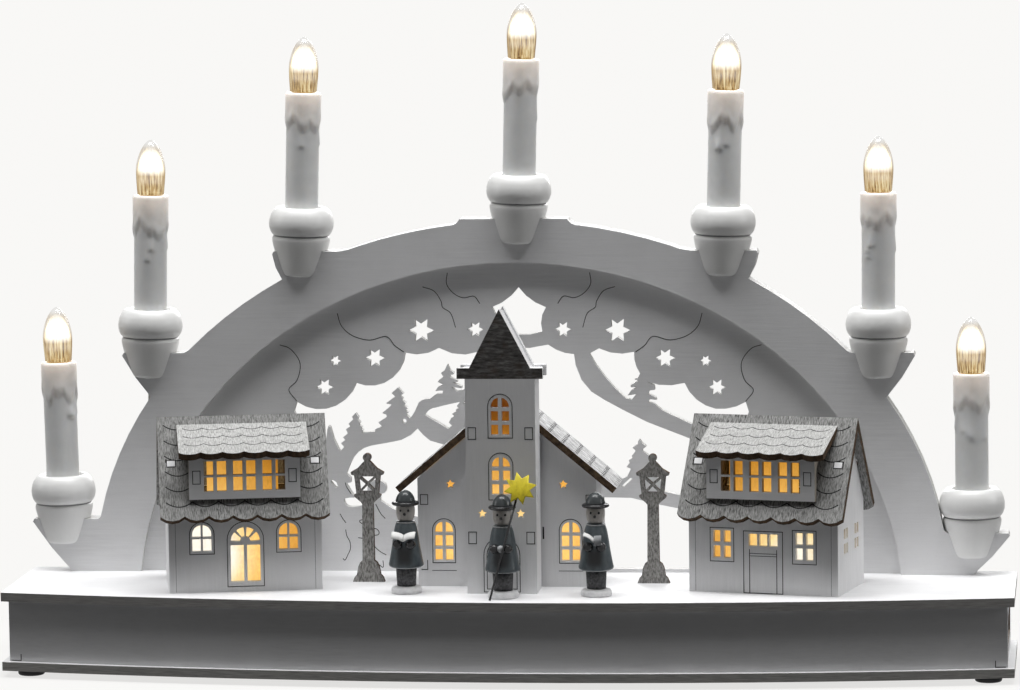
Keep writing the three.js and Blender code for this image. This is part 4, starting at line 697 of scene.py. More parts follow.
# %% [markdown]
# ## Shingles, by rule
# Every row of shingles is the same sagging arc repeated along the roof, and every roof repeats the row
# up its slope. Geometry Nodes say that rule once: a line of places in every row, an arc on each place,
# none where the dormer stands in the way, and then the arcs swept into thin strips.

# %% Helper for Geometry Nodes
WHOLE, REAL = "NodeSocketInt", "NodeSocketFloat"


class Tree:
    """A Geometry Nodes tree with named inputs and one geometry output."""

    def __init__(self, name, inputs):
        self.tree = bpy.data.node_groups.new(name, "GeometryNodeTree")
        face = self.tree.interface
        self.ids = {label: face.new_socket(label, in_out="INPUT", socket_type=kind).identifier
                    for label, kind in inputs.items()}
        face.new_socket("Geometry", in_out="OUTPUT", socket_type="NodeSocketGeometry")
        self.inputs = self.add("NodeGroupInput").outputs
        self.end = self.add("NodeGroupOutput")

    def add(self, kind, inputs=None, **settings):
        node = self.tree.nodes.new(kind)
        for key, value in settings.items():
            setattr(node, key, value)
        for key, value in (inputs or {}).items():
            if isinstance(value, bpy.types.NodeSocket):
                self.tree.links.new(value, node.inputs[key])
            else:
                node.inputs[key].default_value = value
        return node

    def math(self, operation, a, b=0.0):
        return self.add("ShaderNodeMath", {0: a, 1: b}, operation=operation).outputs[0]

    def vector(self, x=0.0, y=0.0, z=0.0):
        return self.add("ShaderNodeCombineXYZ", {0: x, 1: y, 2: z}).outputs[0]

    def finish(self, geometry, material):
        real = self.add("GeometryNodeRealizeInstances", {0: geometry}).outputs[0]
        painted = self.add("GeometryNodeSetMaterial", {"Geometry": real, "Material": material}).outputs[0]
        self.tree.links.new(painted, self.end.inputs[0])

    def mesh(self, name, **values):
        """Runs the tree with values for its inputs and returns the mesh that it makes."""
        holder = bpy.data.objects.new("holder", bpy.data.meshes.new("holder"))
        bpy.context.scene.collection.objects.link(holder)
        step = holder.modifiers.new("rule", "NODES")
        step.node_group = self.tree
        for label, value in values.items():
            step[self.ids[label.replace("_", " ")]] = value
        graph = bpy.context.evaluated_depsgraph_get()
        made = bpy.data.meshes.new_from_object(holder.evaluated_get(graph), depsgraph=graph)
        made.name = name
        bpy.data.objects.remove(holder)
        return made


print("Geometry Nodes helper ready")

# %% Geometry Nodes: rows of shingles
SHINGLE_INPUTS = dict.fromkeys(["Lobes", "Rows"], WHOLE) | dict.fromkeys(
    ["Lobe Width", "Row Pitch", "First Row", "Sag", "Line Radius", "Gap Half Width", "Gap Above"], REAL)
FLATTEN = (1.0, 1.0, 0.3)


def shingle_tree(material):
    t = Tree("shingle_rows", SHINGLE_INPUTS)
    g = t.inputs
    width, sag = g["Lobe Width"], g["Sag"]
    half = t.math("MULTIPLY", width, 0.5)
    arc = t.add("GeometryNodeCurveQuadraticBezier", {
        "Resolution": 10, "Start": t.vector(t.math("MULTIPLY", half, -1.0)),
        "Middle": t.vector(0.0, t.math("MULTIPLY", sag, -2.0)), "End": t.vector(half)}).outputs[0]
    start = t.math("MULTIPLY", t.math("SUBTRACT", g["Lobes"], 1.0), t.math("MULTIPLY", half, -1.0))
    row = t.add("GeometryNodeMeshLine", {"Count": g["Lobes"], "Start Location": t.vector(start),
                                         "Offset": t.vector(width)}).outputs[0]
    rows = t.add("GeometryNodeMeshLine", {
        "Count": g["Rows"], "Start Location": t.vector(0.0, g["First Row"]),
        "Offset": t.vector(0.0, g["Row Pitch"])}).outputs[0]
    placed = t.add("GeometryNodeInstanceOnPoints", {"Points": rows, "Instance": row}).outputs[0]
    places = t.add("GeometryNodeRealizeInstances", {0: placed}).outputs[0]
    at = t.add("ShaderNodeSeparateXYZ", {0: t.add("GeometryNodeInputPosition").outputs[0]}).outputs
    inside = t.math("LESS_THAN", t.math("ABSOLUTE", at[0]), g["Gap Half Width"])
    above = t.math("GREATER_THAN", at[1], g["Gap Above"])
    gap = t.math("MULTIPLY", inside, above)
    kept = t.add("GeometryNodeDeleteGeometry", {"Geometry": places, "Selection": gap}, domain="POINT")
    arcs = t.add("GeometryNodeInstanceOnPoints", {"Points": kept.outputs[0], "Instance": arc}).outputs[0]
    lines = t.add("GeometryNodeRealizeInstances", {0: arcs}).outputs[0]
    section = t.add("GeometryNodeCurvePrimitiveCircle", {"Resolution": 6, "Radius": g["Line Radius"]})
    swept = t.add("GeometryNodeCurveToMesh", {"Curve": lines, "Profile Curve": section.outputs[0],
                                              "Fill Caps": True}).outputs[0]
    place = t.add("GeometryNodeInputPosition").outputs[0]
    flat = t.add("ShaderNodeVectorMath", {0: place, 1: FLATTEN}, operation="MULTIPLY").outputs[0]
    flattened = t.add("GeometryNodeSetPosition", {"Geometry": swept, "Position": flat}).outputs[0]
    t.finish(flattened, material)
    return t


shingles = shingle_tree(SCORE)
print("the shingle rule has", len(SHINGLE_INPUTS), "inputs")

# %% Rows on the houses
def add_mesh(name, mesh, place, material):
    mesh.transform(place)
    clean(mesh, True)
    return register(name, mesh, material, ROOT)


def slope_frame(place, pitch, eave_z):
    """A roof slope: x runs along the eave, y up the slope and z out of it."""
    eave = place @ Matrix.Translation((0, -EAVE_PAST, eave_z))
    return eave @ Matrix.Rotation(math.radians(pitch), 4, "X")


ROOF_HALF = HOUSE_DEPTH / 2 + EAVE_PAST
EAVE_Z = RIDGE_Z - ROOF_HALF * math.tan(math.radians(ROOF_PITCH))
NO_GAP, DORMER_GAP = dict(Gap_Half_Width=0.0, Gap_Above=99.0), dict(Gap_Half_Width=20.0, Gap_Above=12.0)
HOUSE_ROWS = dict(Lobes=6, Rows=6, Lobe_Width=11.63, Row_Pitch=7.64, First_Row=9.2, Sag=2.4,
                  Line_Radius=0.27)
DORMER_ROWS = dict(Lobes=6, Rows=3, Lobe_Width=8.83, Row_Pitch=7.2, First_Row=9.8, Sag=1.9,
                   Line_Radius=0.23)
for side, name in SIDES:
    place = house_frame(side)
    behind = place @ Matrix.Translation((0, HOUSE_DEPTH, 0)) @ Matrix.Rotation(math.pi, 4, "Z")
    front = shingles.mesh("rows", **HOUSE_ROWS, **DORMER_GAP)
    add_mesh(f"shingles_front_{name}", front, slope_frame(place, ROOF_PITCH, EAVE_Z), SCORE)
    back = shingles.mesh("rows", **HOUSE_ROWS, **NO_GAP)
    add_mesh(f"shingles_back_{name}", back, slope_frame(behind, ROOF_PITCH, EAVE_Z), SCORE)
    lid = shingles.mesh("rows", **DORMER_ROWS, **NO_GAP)
    add_mesh(f"shingles_dormer_{name}", lid, slope_frame(place, DORMER_PITCH, DORMER_EAVE_Z), SCORE)
print("six roof leaves carry shingle rows")

# %% Pegs at the gables
PEG_X, PEG_Z, PEG_WIDE, PEG_HIGH = 32, 57, 2, 1.6
PEG_END_WIDE, PEG_END_HIGH = 1.75, 1.35
pitch = math.radians(ROOF_PITCH)
PEG_UP = ROOF_HALF / math.cos(pitch) - (RIDGE_Z - PEG_Z) / math.sin(pitch)
for side, name in SIDES:
    slope = slope_frame(house_frame(side), ROOF_PITCH, EAVE_Z)
    frames = [frame_line(x - PEG_WIDE, x + PEG_WIDE, PEG_UP - PEG_HIGH, PEG_UP + PEG_HIGH)
              for x in (-PEG_X, PEG_X)]
    add_piece(f"peg_outlines_{name}", *joined(frames)[:2], slope, SCORE, smooth=False)
    ends = [box_shape(x - PEG_END_WIDE, x + PEG_END_WIDE, PEG_UP - PEG_END_HIGH, PEG_UP + PEG_END_HIGH,
                      -0.3, 0.12) for x in (-PEG_X, PEG_X)]
    # painted light: the peg ends are a brighter white than the walls, against the shade they stand in
    brightened_peg_paint = painted_ply(f"brightened_peg_paint_{name}", FRONT, white=0.88, edge=None)
    add_piece(f"peg_ends_{name}", *joined(ends)[:2], slope, brightened_peg_paint, smooth=False)
print("pegs", round(PEG_UP, 1), "mm up the slopes")

# %% Rows on the nave
NAVE_MIDDLE = NAVE_FRONT + (NAVE_DEPTH + NAVE_ROOF_BEHIND - NAVE_ROOF_AHEAD) / 2
NAVE_ROWS = dict(Lobes=7, Rows=7, Lobe_Width=4.1, Row_Pitch=7.7, Sag=1.7, Line_Radius=0.26)
EAVE_TRIM, FIRST_UP = 0.6, 8.5
rise = (NAVE_EAVE_HALF - EAVE_TRIM) / math.cos(math.radians(NAVE_PITCH))
for side, name in SIDES:
    ridge = stage_frame(0, NAVE_MIDDLE, NAVE_APEX) @ Matrix.Rotation(math.radians(side * 90), 4, "Z")
    slope = ridge @ Matrix.Rotation(math.radians(-NAVE_PITCH), 4, "X") @ Matrix.Rotation(math.pi, 4, "Z")
    saw = shingles.mesh("rows", **NAVE_ROWS, **NO_GAP, First_Row=-rise + FIRST_UP)
    add_mesh(f"shingles_nave_{name}", saw, slope, SCORE)
print("each slope of the nave is", round(rise, 1), "mm long")

# %% [markdown]
# ## Window films
# Behind every opening hangs a thin translucent film that spreads the light of a small LED on the floor
# of the room. Near the LED it is almost white, further off it turns amber and then brown, so the whole
# look follows from one distance. A film is a box 0.2 mm thick, given by its six sides in millimetres.

# %% Films lit by the LEDs
FILM_REACH, LED_Z = 0.07, 16.0


def film(name, led, gain=1.0):
    s = Surface(name)
    distance = s.distance_to(led)
    color = s.ramp(s.between(distance, 0.0, FILM_REACH), [
        (0.20, (1.0, 0.97, 0.86)), (0.27, (1.0, 0.78, 0.38)), (0.36, (0.96, 0.60, 0.18)),
        (0.52, (0.80, 0.42, 0.085)), (0.68, (0.58, 0.26, 0.03)), (0.82, (0.30, 0.11, 0.008)),
        (0.95, (0.13, 0.035, 0.002))])
    fibres = s.noise(900, 5, (1, 1, 0.5), warp=0.3)
    blotch = s.noise(220, 3)
    fine = s.between(fibres, 0.3, 0.7, 0.9, 1.06)
    strength = s.math("MULTIPLY", fine, s.between(blotch, 0.3, 0.7, 0.9, 1.05))
    paper = s.mix(s.between(fibres, 0.3, 0.7), (0.25, 0.16, 0.07, 1), (0.35, 0.22, 0.1, 1))
    s.set(Base_Color=paper, Roughness=0.9, Specular_IOR_Level=0.0, Emission_Color=color,
          Emission_Strength=s.math("MULTIPLY", strength, gain))
    return s.material


left_film = film("left_house_film", house_frame(-1) @ Vector((-18, 10, LED_Z)))
right_film = film("right_house_film", house_frame(1) @ Vector((13, 17, LED_Z)))
tower_film = film("tower_film", stage_frame() @ Vector((0, -62, LED_Z)))
nave_film = film("nave_film", stage_frame() @ Vector((0, -38, LED_Z)), 1.15)
FILMS = [
    ("left_front", house_frame(-1), left_film, (-27, 27, 3.1, 3.3, 2, 35)),
    ("left_dormer", house_frame(-1), left_film, (-16.6, 15.0, -0.45, -0.25, 44.8, 60.5)),
    ("right_front", house_frame(1), right_film, (-27, 27, 3.1, 3.3, 10, 32)),
    ("right_dormer", house_frame(1), right_film, (-15.0, 16.6, -0.45, -0.25, 44.8, 60.5)),
    ("right_gable", house_frame(1), right_film, (30.7, 30.9, 8, 37, 14, 33)),
    ("tower", stage_frame(), tower_film, (-11, 11, -68.3, -68.1, 32, 91)),
    ("nave", stage_frame(), nave_film, (-35, 35, -47.4, -47.2, 9, 50)),
]
for name, place, material, sides in FILMS:
    add_piece(f"film_{name}", *box_shape(*sides), place, material, smooth=False, slot="window_film")
print(len(FILMS), "films behind the openings")

# %% [markdown]
# ## Turned cups
# Each candle stands in a cup that a lathe shaped in one go: a tapered skirt, a thin groove, a fat belly
# and a rounded rim, all under thick gloss paint. A saw slot across the skirt lets it straddle the arch.

# %% Cups
def gloss_white():
    s = Surface("cup_gloss")
    runs = s.noise(120, 3, (1, 1, 0.35))
    dust = s.noise(1700, 2)
    tone = s.mix(s.between(runs, 0.3, 0.7), (0.79, 0.79, 0.78, 1), (0.84, 0.84, 0.83, 1))
    # painted shade: the cup is darkened in its groove
    groove = s.mix(s.attribute("tone"), tone, (0.10, 0.10, 0.105, 1))
    s.set(Base_Color=s.mix(s.between(dust, 0.68, 0.74, 0, 0.3), groove, grey(0.55)), Roughness=0.42,
          Coat_Weight=0.15, Coat_Roughness=0.25)
    return s.bump(runs, 0.08, 0.0003).material


CUP_PAINT = gloss_white()
CUP_OUTSIDE = [(2.5, -11.5), (7.0, -11.5), (8.5, -11.0), (9.4, -9.6), (12.0, 0.0), (12.9, 3.4),
               (13.2, 5.4), (12.9, 6.4), (12.35, 6.9), (12.9, 7.3), (13.9, 8.6), (14.55, 10.6),
               (14.7, 12.2), (14.55, 14.2), (13.9, 16.6), (12.7, 18.6), (11.4, 19.7), (10.4, 19.9),
               (9.3, 19.6), (8.3, 18.4), (7.8, 17.2)]
CUP_INSIDE = [(7.8, 5.0), (2.5, 5.0)]
GROOVE_Z, GROOVE_HALF, GROOVE_PAST = 6.95, 0.3, 11
SLOT_BOX = box_shape(-30, 30, -6.2, 6.2, -24, 0.2)


def loose(name, shape, place, smooth):
    """A shape as an object of its own, to cut with or to be cut."""
    mesh = bpy.data.meshes.new(name)
    mesh.from_pydata([tuple(place @ Vector(p)) for p in shape[0]], [], shape[1])
    clean(mesh, smooth)
    thing = bpy.data.objects.new(name, mesh)
    bpy.context.scene.collection.objects.link(thing)
    return thing


def groove_shade(p):
    """How much painted shade of the groove a place of the cup takes."""
    depth = math.exp(-(((p.z - GROOVE_Z) / GROOVE_HALF) ** 2))
    return depth if math.hypot(p.x, p.y) > GROOVE_PAST else 0.0


def cup_mesh(name, seat):
    lean = seat_frame(seat)
    outline = [*rounded(CUP_OUTSIDE, reach=0.4), *CUP_INSIDE]
    body = loose(name, ring_turned(outline, 72), lean, True)
    knife = loose("slot_cutter", SLOT_BOX, stage_frame(seat[0], ARCH_MIDDLE, seat[1]), False)
    step = body.modifiers.new("slot", "BOOLEAN")
    step.operation, step.object, step.solver = "DIFFERENCE", knife, "EXACT"
    graph = bpy.context.evaluated_depsgraph_get()
    made = bpy.data.meshes.new_from_object(body.evaluated_get(graph), depsgraph=graph)
    for thing in (body, knife):
        bpy.data.objects.remove(thing)
    lean_back = lean.inverted()
    tones = [groove_shade(lean_back @ vertex.co) for vertex in made.vertices]
    made.attributes.new("tone", "FLOAT", "POINT").data.foreach_set("value", tones)
    return made


for number, seat in enumerate(SEATS, 1):
    mesh = cup_mesh(f"turned_cup_{number}", seat)
    clean(mesh, True)
    cup = register(f"turned_cup_{number}", mesh, CUP_PAINT, ROOT)
    sharpen(cup, 35)
    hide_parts(f"cup_{number}")
print("seven cups of", len(mesh.polygons), "faces")

# %% [markdown]
# ## Candles with moulded wax
# A candle is a white plastic tube whose top is moulded as melted wax: a thick collar that ends in
# rounded drips of different lengths. The wax is a height over the tube, so one grid of points follows
# both, and each candle has its own seed. The bulb lights the collar from inside, which warms its top.

# %% Candles
def wax_plastic():
    s = Surface("wax_plastic")
    cloud = s.noise(160, 4)
    tone = s.mix(s.between(cloud, 0.3, 0.7), (0.74, 0.745, 0.74, 1), (0.80, 0.80, 0.79, 1))
    glow = s.attribute("tone")
    warm = s.mix(glow, (0.30, 0.20, 0.11, 1), (0.95, 0.76, 0.60, 1))
    mottled = s.math("MULTIPLY", glow, s.between(cloud, 0.3, 0.75, 0.30, 0.48))
    s.set(Base_Color=tone, Roughness=0.38, Emission_Color=warm, Emission_Strength=mottled, Coat_Weight=0.15,
          Subsurface_Weight=0.15, Subsurface_Radius=(0.9, 0.7, 0.5), Subsurface_Scale=0.003)
    return s.bump(s.noise(420, 3), 0.12, 0.0003).material


WAX = wax_plastic()
TUBE_RADIUS, CANDLE_FOOT, CANDLE_TOP = 7.5, 5.3, 71.8
BORE, SOCKET_DEPTH, LEAD_HOLE, LOWER_BORE = 5.7, 14, 1.8, 6.4
DRIPS, DROPS, COLLAR, WAX_MOST = 8, 5, 10.5, 1.3


def wax_height(seed):
    """The thickness of the wax at an angle and a depth below the rim."""
    rng = np.random.default_rng(seed)
    drips = [(2 * math.pi * (k + 0.35 * rng.uniform(-1, 1)) / DRIPS, rng.uniform(15.5, 21),
              rng.uniform(0.28, 0.5)) for k in range(DRIPS)]
    drops = [(rng.uniform(0, 2 * math.pi), rng.uniform(23, 29), rng.uniform(0.16, 0.24))
             for _ in range(DROPS)]

    def turn_gap(a, b):
        return abs((a - b + math.pi) % (2 * math.pi) - math.pi)

    def thickness(angle, depth):
        reach = COLLAR + 0.5
        for at, length, wide in drips:
            gap = turn_gap(angle, at) / wide
            reach = max(reach, COLLAR + (length - COLLAR) * math.exp(-gap * gap * 0.45))
        inside = reach - depth
        base = 0.0
        if inside > 0:
            rim = 1 - math.exp(-inside / 3.4)
            base = rim * (0.66 + 0.42 * math.exp(-(((inside - 3.6) / 2.8) ** 2)))
        for at, down, wide in drops:
            gap = turn_gap(angle, at) / wide
            base += 0.42 * math.exp(-gap * gap - ((depth - down) / (1.1 if depth > down else 4.5)) ** 2)
        return min(base, WAX_MOST)

    return thickness


def candle_shape(seed, sides=88):
    wax = wax_height(seed)
    full = CANDLE_TOP - CANDLE_FOOT
    depths = [full, 60, 50, 42, 38, 35, *np.arange(33, 1.2, -0.55), 0.9, 0.6, 0.35, 0.15, 0.0]
    turns = [2 * math.pi * k / sides for k in range(sides)]
    rows = []
    for depth in depths:
        soft = 0.0 if depth > 1 else 0.45 * (1 - depth) ** 2
        share = min(1, 0.75 + 0.25 * depth)
        rows.append([(TUBE_RADIUS + wax(angle, depth) * share - soft, CANDLE_TOP - depth)
                     for angle in turns])
    floor_z = CANDLE_TOP - SOCKET_DEPTH
    inner = [(6.6, CANDLE_TOP), (BORE, CANDLE_TOP - 0.5), (BORE, floor_z), (LEAD_HOLE, floor_z),
             (LEAD_HOLE, floor_z - 2), (LOWER_BORE, floor_z - 2), (LOWER_BORE, CANDLE_FOOT)]
    rows += [[p] * sides for p in inner]
    points, faces, tones = [], [], []
    for row in rows:
        for angle, (r, z) in zip(turns, row):
            points.append((r * math.cos(angle), r * math.sin(angle), z))
            tones.append(max(0.0, 1 - (CANDLE_TOP - z) / 21) ** 1.5)
    count = len(rows)
    for i in range(count):
        a, b = i * sides, ((i + 1) % count) * sides
        for k in range(sides):
            j = (k + 1) % sides
            faces.append((a + k, a + j, b + j, b + k))
    return points, faces, tones


for number, seat in enumerate(SEATS, 1):
    points, faces, tones = candle_shape(40 + number)
    candle = add_piece(f"wax_candle_{number}", points, faces, seat_frame(seat), WAX,
                       slot="candle_white", values=tones)
    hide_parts(f"candle_{number}")
print("seven candles,", len(faces), "faces each")

# %% [markdown]
# ## Fluted bulbs, by rule
# A bulb is one profile turned about its axis, with sixteen fine flutes pressed into the glass. In
# Geometry Nodes that is a line from foot to tip whose radius follows a curve, with a fluted ring swept
# along it. The same tree makes the glass, and with fewer flutes the glow inside.

# %% Geometry Nodes: fluted glass
BULB_INPUTS = dict.fromkeys(["Height", "Radius", "Flutes", "Depth"], REAL)


def bulb_tree(material, profile):
    t = Tree("fluted_bulb", BULB_INPUTS)
    g = t.inputs
    line = t.add("GeometryNodeCurvePrimitiveLine", {"End": t.vector(0.0, 0.0, g["Height"])}).outputs[0]
    fine = t.add("GeometryNodeResampleCurve", {"Curve": line, "Count": 48}).outputs[0]
    along = t.add("GeometryNodeSplineParameter").outputs["Factor"]
    shape = t.add("ShaderNodeFloatCurve", {"Value": along})
    curve = shape.mapping.curves[0]
    for at, value in profile[1:-1]:
        curve.points.new(at, value)
    curve.points[0].location = profile[0]
    curve.points[-1].location = profile[-1]
    shape.mapping.update()
    radius = t.math("MULTIPLY", shape.outputs[0], g["Radius"])
    ring = t.add("GeometryNodeCurvePrimitiveCircle", {"Resolution": 96, "Radius": 1.0}).outputs[0]
    place = t.add("GeometryNodeInputPosition").outputs[0]
    at = t.add("ShaderNodeSeparateXYZ", {0: place}).outputs
    angle = t.math("ARCTAN2", at[1], at[0])
    wave = t.math("COSINE", t.math("MULTIPLY", angle, g["Flutes"]))
    grow = t.math("ADD", t.math("MULTIPLY", wave, g["Depth"]), 1.0)
    pushed = t.add("ShaderNodeVectorMath", {0: place, "Scale": grow}, operation="SCALE").outputs[0]
    fluted = t.add("GeometryNodeSetPosition", {"Geometry": ring, "Position": pushed}).outputs[0]
    swept = t.add("GeometryNodeCurveToMesh", {"Curve": fine, "Profile Curve": fluted, "Scale": radius,
                                              "Fill Caps": True}).outputs[0]
    t.finish(swept, material)
    return t


print("the bulb rule has", len(BULB_INPUTS), "inputs")

# %% Glass, glow and brass
def clear_glass():
    """Thin clear glass, see-through in the middle, with painted light: a grey and whitish painted
    reflection at the rim, and the bulb's glow painted golden in the lower third.
    """
    s = Surface("fluted_glass")
    height = s.attribute("tone")
    facing = s.add("ShaderNodeLayerWeight", {"Blend": 0.35}).outputs["Facing"]
    streaks = s.noise(1500, 3, (1, 1, 0.04))
    # painted glow: golden streaks of the bulb's light, emitted by the glass itself
    glow_golds = [(0, (0.16, 0.085, 0.03)), (0.45, (0.62, 0.40, 0.16)), (1, (1.0, 0.86, 0.52))]
    painted_glow_gold = s.ramp(s.between(streaks, 0.36, 0.64), glow_golds)
    painted_glow_gold = s.mix(s.math("POWER", facing, 1.6), painted_glow_gold, (0.28, 0.17, 0.07, 1))
    glow_shares = [(0.0, 0.92), (0.24, 0.72), (0.34, 0.85), (0.46, 0.25), (0.62, 0.08), (0.84, 0.30),
              (0.93, 0.06)]
    low = s.ramp(height, [(at, (share, share, share)) for at, share in glow_shares])
    # painted reflection: the rim of the glass glows grey and whitish
    rim = s.math("MULTIPLY", s.math("POWER", facing, 2.2), 0.75)
    amount = s.math("ADD", low, rim, clamp=True)
    painted_light_tint = s.mix(s.between(height, 0.8, 0.95), painted_glow_gold, (0.62, 0.63, 0.64, 1))
    painted_light_tint = s.mix(s.math("MULTIPLY", rim, s.between(height, 0.3, 0.6)), painted_light_tint, (0.90, 0.86, 0.78, 1))
    lit = s.add("ShaderNodeEmission", {"Color": painted_light_tint, "Strength": 0.9})
    clear = s.add("ShaderNodeBsdfTransparent", {"Color": (0.97, 0.97, 0.97, 1)})
    body = s.add("ShaderNodeMixShader", {0: amount, 1: clear.outputs[0], 2: lit.outputs[0]})
    sheen = s.add("ShaderNodeBsdfGlossy", {"Color": (1, 1, 1, 1), "Roughness": 0.06})
    final = s.add("ShaderNodeMixShader", {0: s.math("MULTIPLY", facing, 0.16), 1: body.outputs[0],
                                          2: sheen.outputs[0]})
    s.tree.links.new(final.outputs[0], s.output.inputs["Surface"])
    return s.material


def inner_glow():
    """Light inside the bulb: white-hot in the middle and fading out at its rim."""
    s = Surface("inner_glow")
    facing = s.add("ShaderNodeLayerWeight", {"Blend": 0.5}).outputs["Facing"]
    grain = s.noise(700, 2)
    core = s.math("POWER", s.math("SUBTRACT", 1.0, facing, clamp=True), 0.8)
    color = s.ramp(core, [(0.0, (1.0, 0.62, 0.25)), (0.35, (1.0, 0.86, 0.58)), (0.7, (1.0, 0.98, 0.92))])
    glow = s.add("ShaderNodeEmission", {"Color": color, "Strength": s.between(grain, 0.3, 0.7, 1.5, 1.9)})
    clear = s.add("ShaderNodeBsdfTransparent")
    height = s.attribute("tone")
    ends = s.math("MULTIPLY", s.between(height, 0.12, 0.52), s.between(height, 0.98, 0.72))
    amount = s.math("MULTIPLY", ends, s.between(core, 0.02, 0.45))
    mixed = s.add("ShaderNodeMixShader", {0: amount, 1: clear.outputs[0], 2: glow.outputs[0]})
    s.tree.links.new(mixed.outputs[0], s.output.inputs["Surface"])
    return s.material


def brass_cap():
    s = Surface("brass_cap")
    scratch = s.noise(1200, 4, (1, 1, 0.2))
    s.set(Base_Color=s.mix(s.between(scratch, 0.3, 0.7), (0.62, 0.45, 0.2, 1), (0.8, 0.62, 0.32, 1)),
          Metallic=1.0, Roughness=s.between(scratch, 0.3, 0.7, 0.22, 0.4))
    return s.bump(scratch, 0.1, 0.00005).material


GLASS, GLOW, BRASS = clear_glass(), inner_glow(), brass_cap()
print("three materials for a bulb")

# %% Bulbs
GLASS_PROFILE = [(0.0, 0.90), (0.12, 0.94), (0.32, 0.99), (0.46, 1.0), (0.60, 0.93), (0.72, 0.80),
                 (0.82, 0.64), (0.90, 0.46), (0.96, 0.27), (1.0, 0.04)]
glass_rule = bulb_tree(GLASS, GLASS_PROFILE)
GLASS_SIZE = dict(radius=6.65, height=24.8, lift=0.3, flutes=16.0, depth=0.014)
GLOW_SIZE = dict(radius=6.0, height=20.8, lift=1.5, flutes=6.0, depth=0.02)


def glass_mesh(seat, radius, height, lift, flutes, depth):
    mesh = glass_rule.mesh("glass", Height=height, Radius=radius, Flutes=flutes, Depth=depth)
    tones = [v.co.z / height for v in mesh.vertices]
    mesh.attributes.new("tone", "FLOAT", "POINT").data.foreach_set("value", tones)
    mesh.transform(seat_frame(seat) @ Matrix.Translation((0, 0, CANDLE_TOP + lift)))
    clean(mesh, True)
    return mesh


THREAD_PITCH = 1.6
thread = [(4.7 + 0.13 * math.sin(2 * math.pi * z / THREAD_PITCH), z) for z in np.arange(60.4, 71.9, 0.2)]
CAP_PROFILE = [(0, 58.1), (1.9, 58.2), (2.3, 58.9), (4.3, 60.1), *thread, (4.75, 72.2), (5.6, 72.5),
               (5.6, 72.9), (0, 72.9)]
for number, seat in enumerate(SEATS, 1):
    body = f"bulb_{number}_body"
    shell = glass_mesh(seat, **GLASS_SIZE)
    glass = register(f"bulb_glass_{number}", shell, GLASS, body)
    register(f"bulb_glow_{number}", glass_mesh(seat, **GLOW_SIZE), GLOW, body)
    add_piece(f"bulb_cap_{number}", *turned(CAP_PROFILE, 40), seat_frame(seat), BRASS, body)
    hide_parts(f"bulb_{number}")
print("seven bulbs of", len(glass.data.polygons), "glass faces")

# %% [markdown]
# ## Turned and painted figures
# The figures are small lathe-turned pegs with a painted coat, a pale head with dotted eyes and a dark
# brimmed hat. The two outer ones hold an open book. Each stands on a disc of painted snow. Every figure
# is joined from a few closed turned shapes, each with its own paint.

# %% Paints of the figures
def gloss_paint(name, light, dark, roughness=0.3, grain=220, coat=0.4):
    s = Surface(name)
    patches = s.noise(grain, 4)
    tone = s.mix(s.between(patches, 0.3, 0.7), (*dark, 1), (*light, 1))
    s.set(Base_Color=tone, Roughness=s.between(patches, 0.3, 0.7, roughness, roughness * 1.3),
          Specular_IOR_Level=0.25, Coat_Weight=coat, Coat_Roughness=0.1)
    return s.bump(s.noise(800, 3), 0.08, 0.0001).material


def coat_paint():
    """Slate blue, and black on the front below the hands where the tone on the coat's points says so."""
    s = Surface("coat_paint")
    brush = s.noise(260, 4, (1, 1, 0.5))
    blue = s.mix(s.between(brush, 0.3, 0.7), (0.042, 0.054, 0.062, 1), (0.105, 0.125, 0.135, 1))
    s.set(Base_Color=s.mix(s.attribute("tone"), blue, (0.012, 0.012, 0.014, 1)), Roughness=0.34,
          Specular_IOR_Level=0.2, Coat_Weight=0.12, Coat_Roughness=0.12)
    return s.bump(brush, 0.1, 0.0002).material


def snow_paint():
    s = Surface("snow_paint")
    lumps = s.noise(380, 4)
    s.set(Base_Color=s.mix(s.between(lumps, 0.3, 0.7), grey(0.68), grey(0.84)), Roughness=0.75)
    return s.bump(lumps, 0.5, 0.0006).material


COAT, SNOW = coat_paint(), snow_paint()
BLACK = gloss_paint("hat_gloss", (0.02, 0.02, 0.023), (0.008, 0.008, 0.009), 0.2, coat=0.15)
SKIN = gloss_paint("face_paint", (0.64, 0.61, 0.58), (0.50, 0.47, 0.44), 0.45, coat=0.1)
PAPER = gloss_paint("page_paint", (0.80, 0.80, 0.78), (0.66, 0.66, 0.65), 0.5, coat=0.0)
GREY_PAGE = gloss_paint("grey_page_paint", (0.36, 0.37, 0.38), (0.24, 0.25, 0.26), 0.5, coat=0.0)
TROUSER = gloss_paint("trouser_paint", (0.13, 0.13, 0.135), (0.02, 0.02, 0.022), 0.6, 900, 0.1)
PALE = gloss_paint("trim_paint", (0.42, 0.43, 0.44), (0.26, 0.27, 0.28), 0.4)
SLATE = gloss_paint("slate_paint", (0.055, 0.063, 0.067), (0.022, 0.026, 0.028), 0.22, coat=0.12)
print("nine paints for the figures")
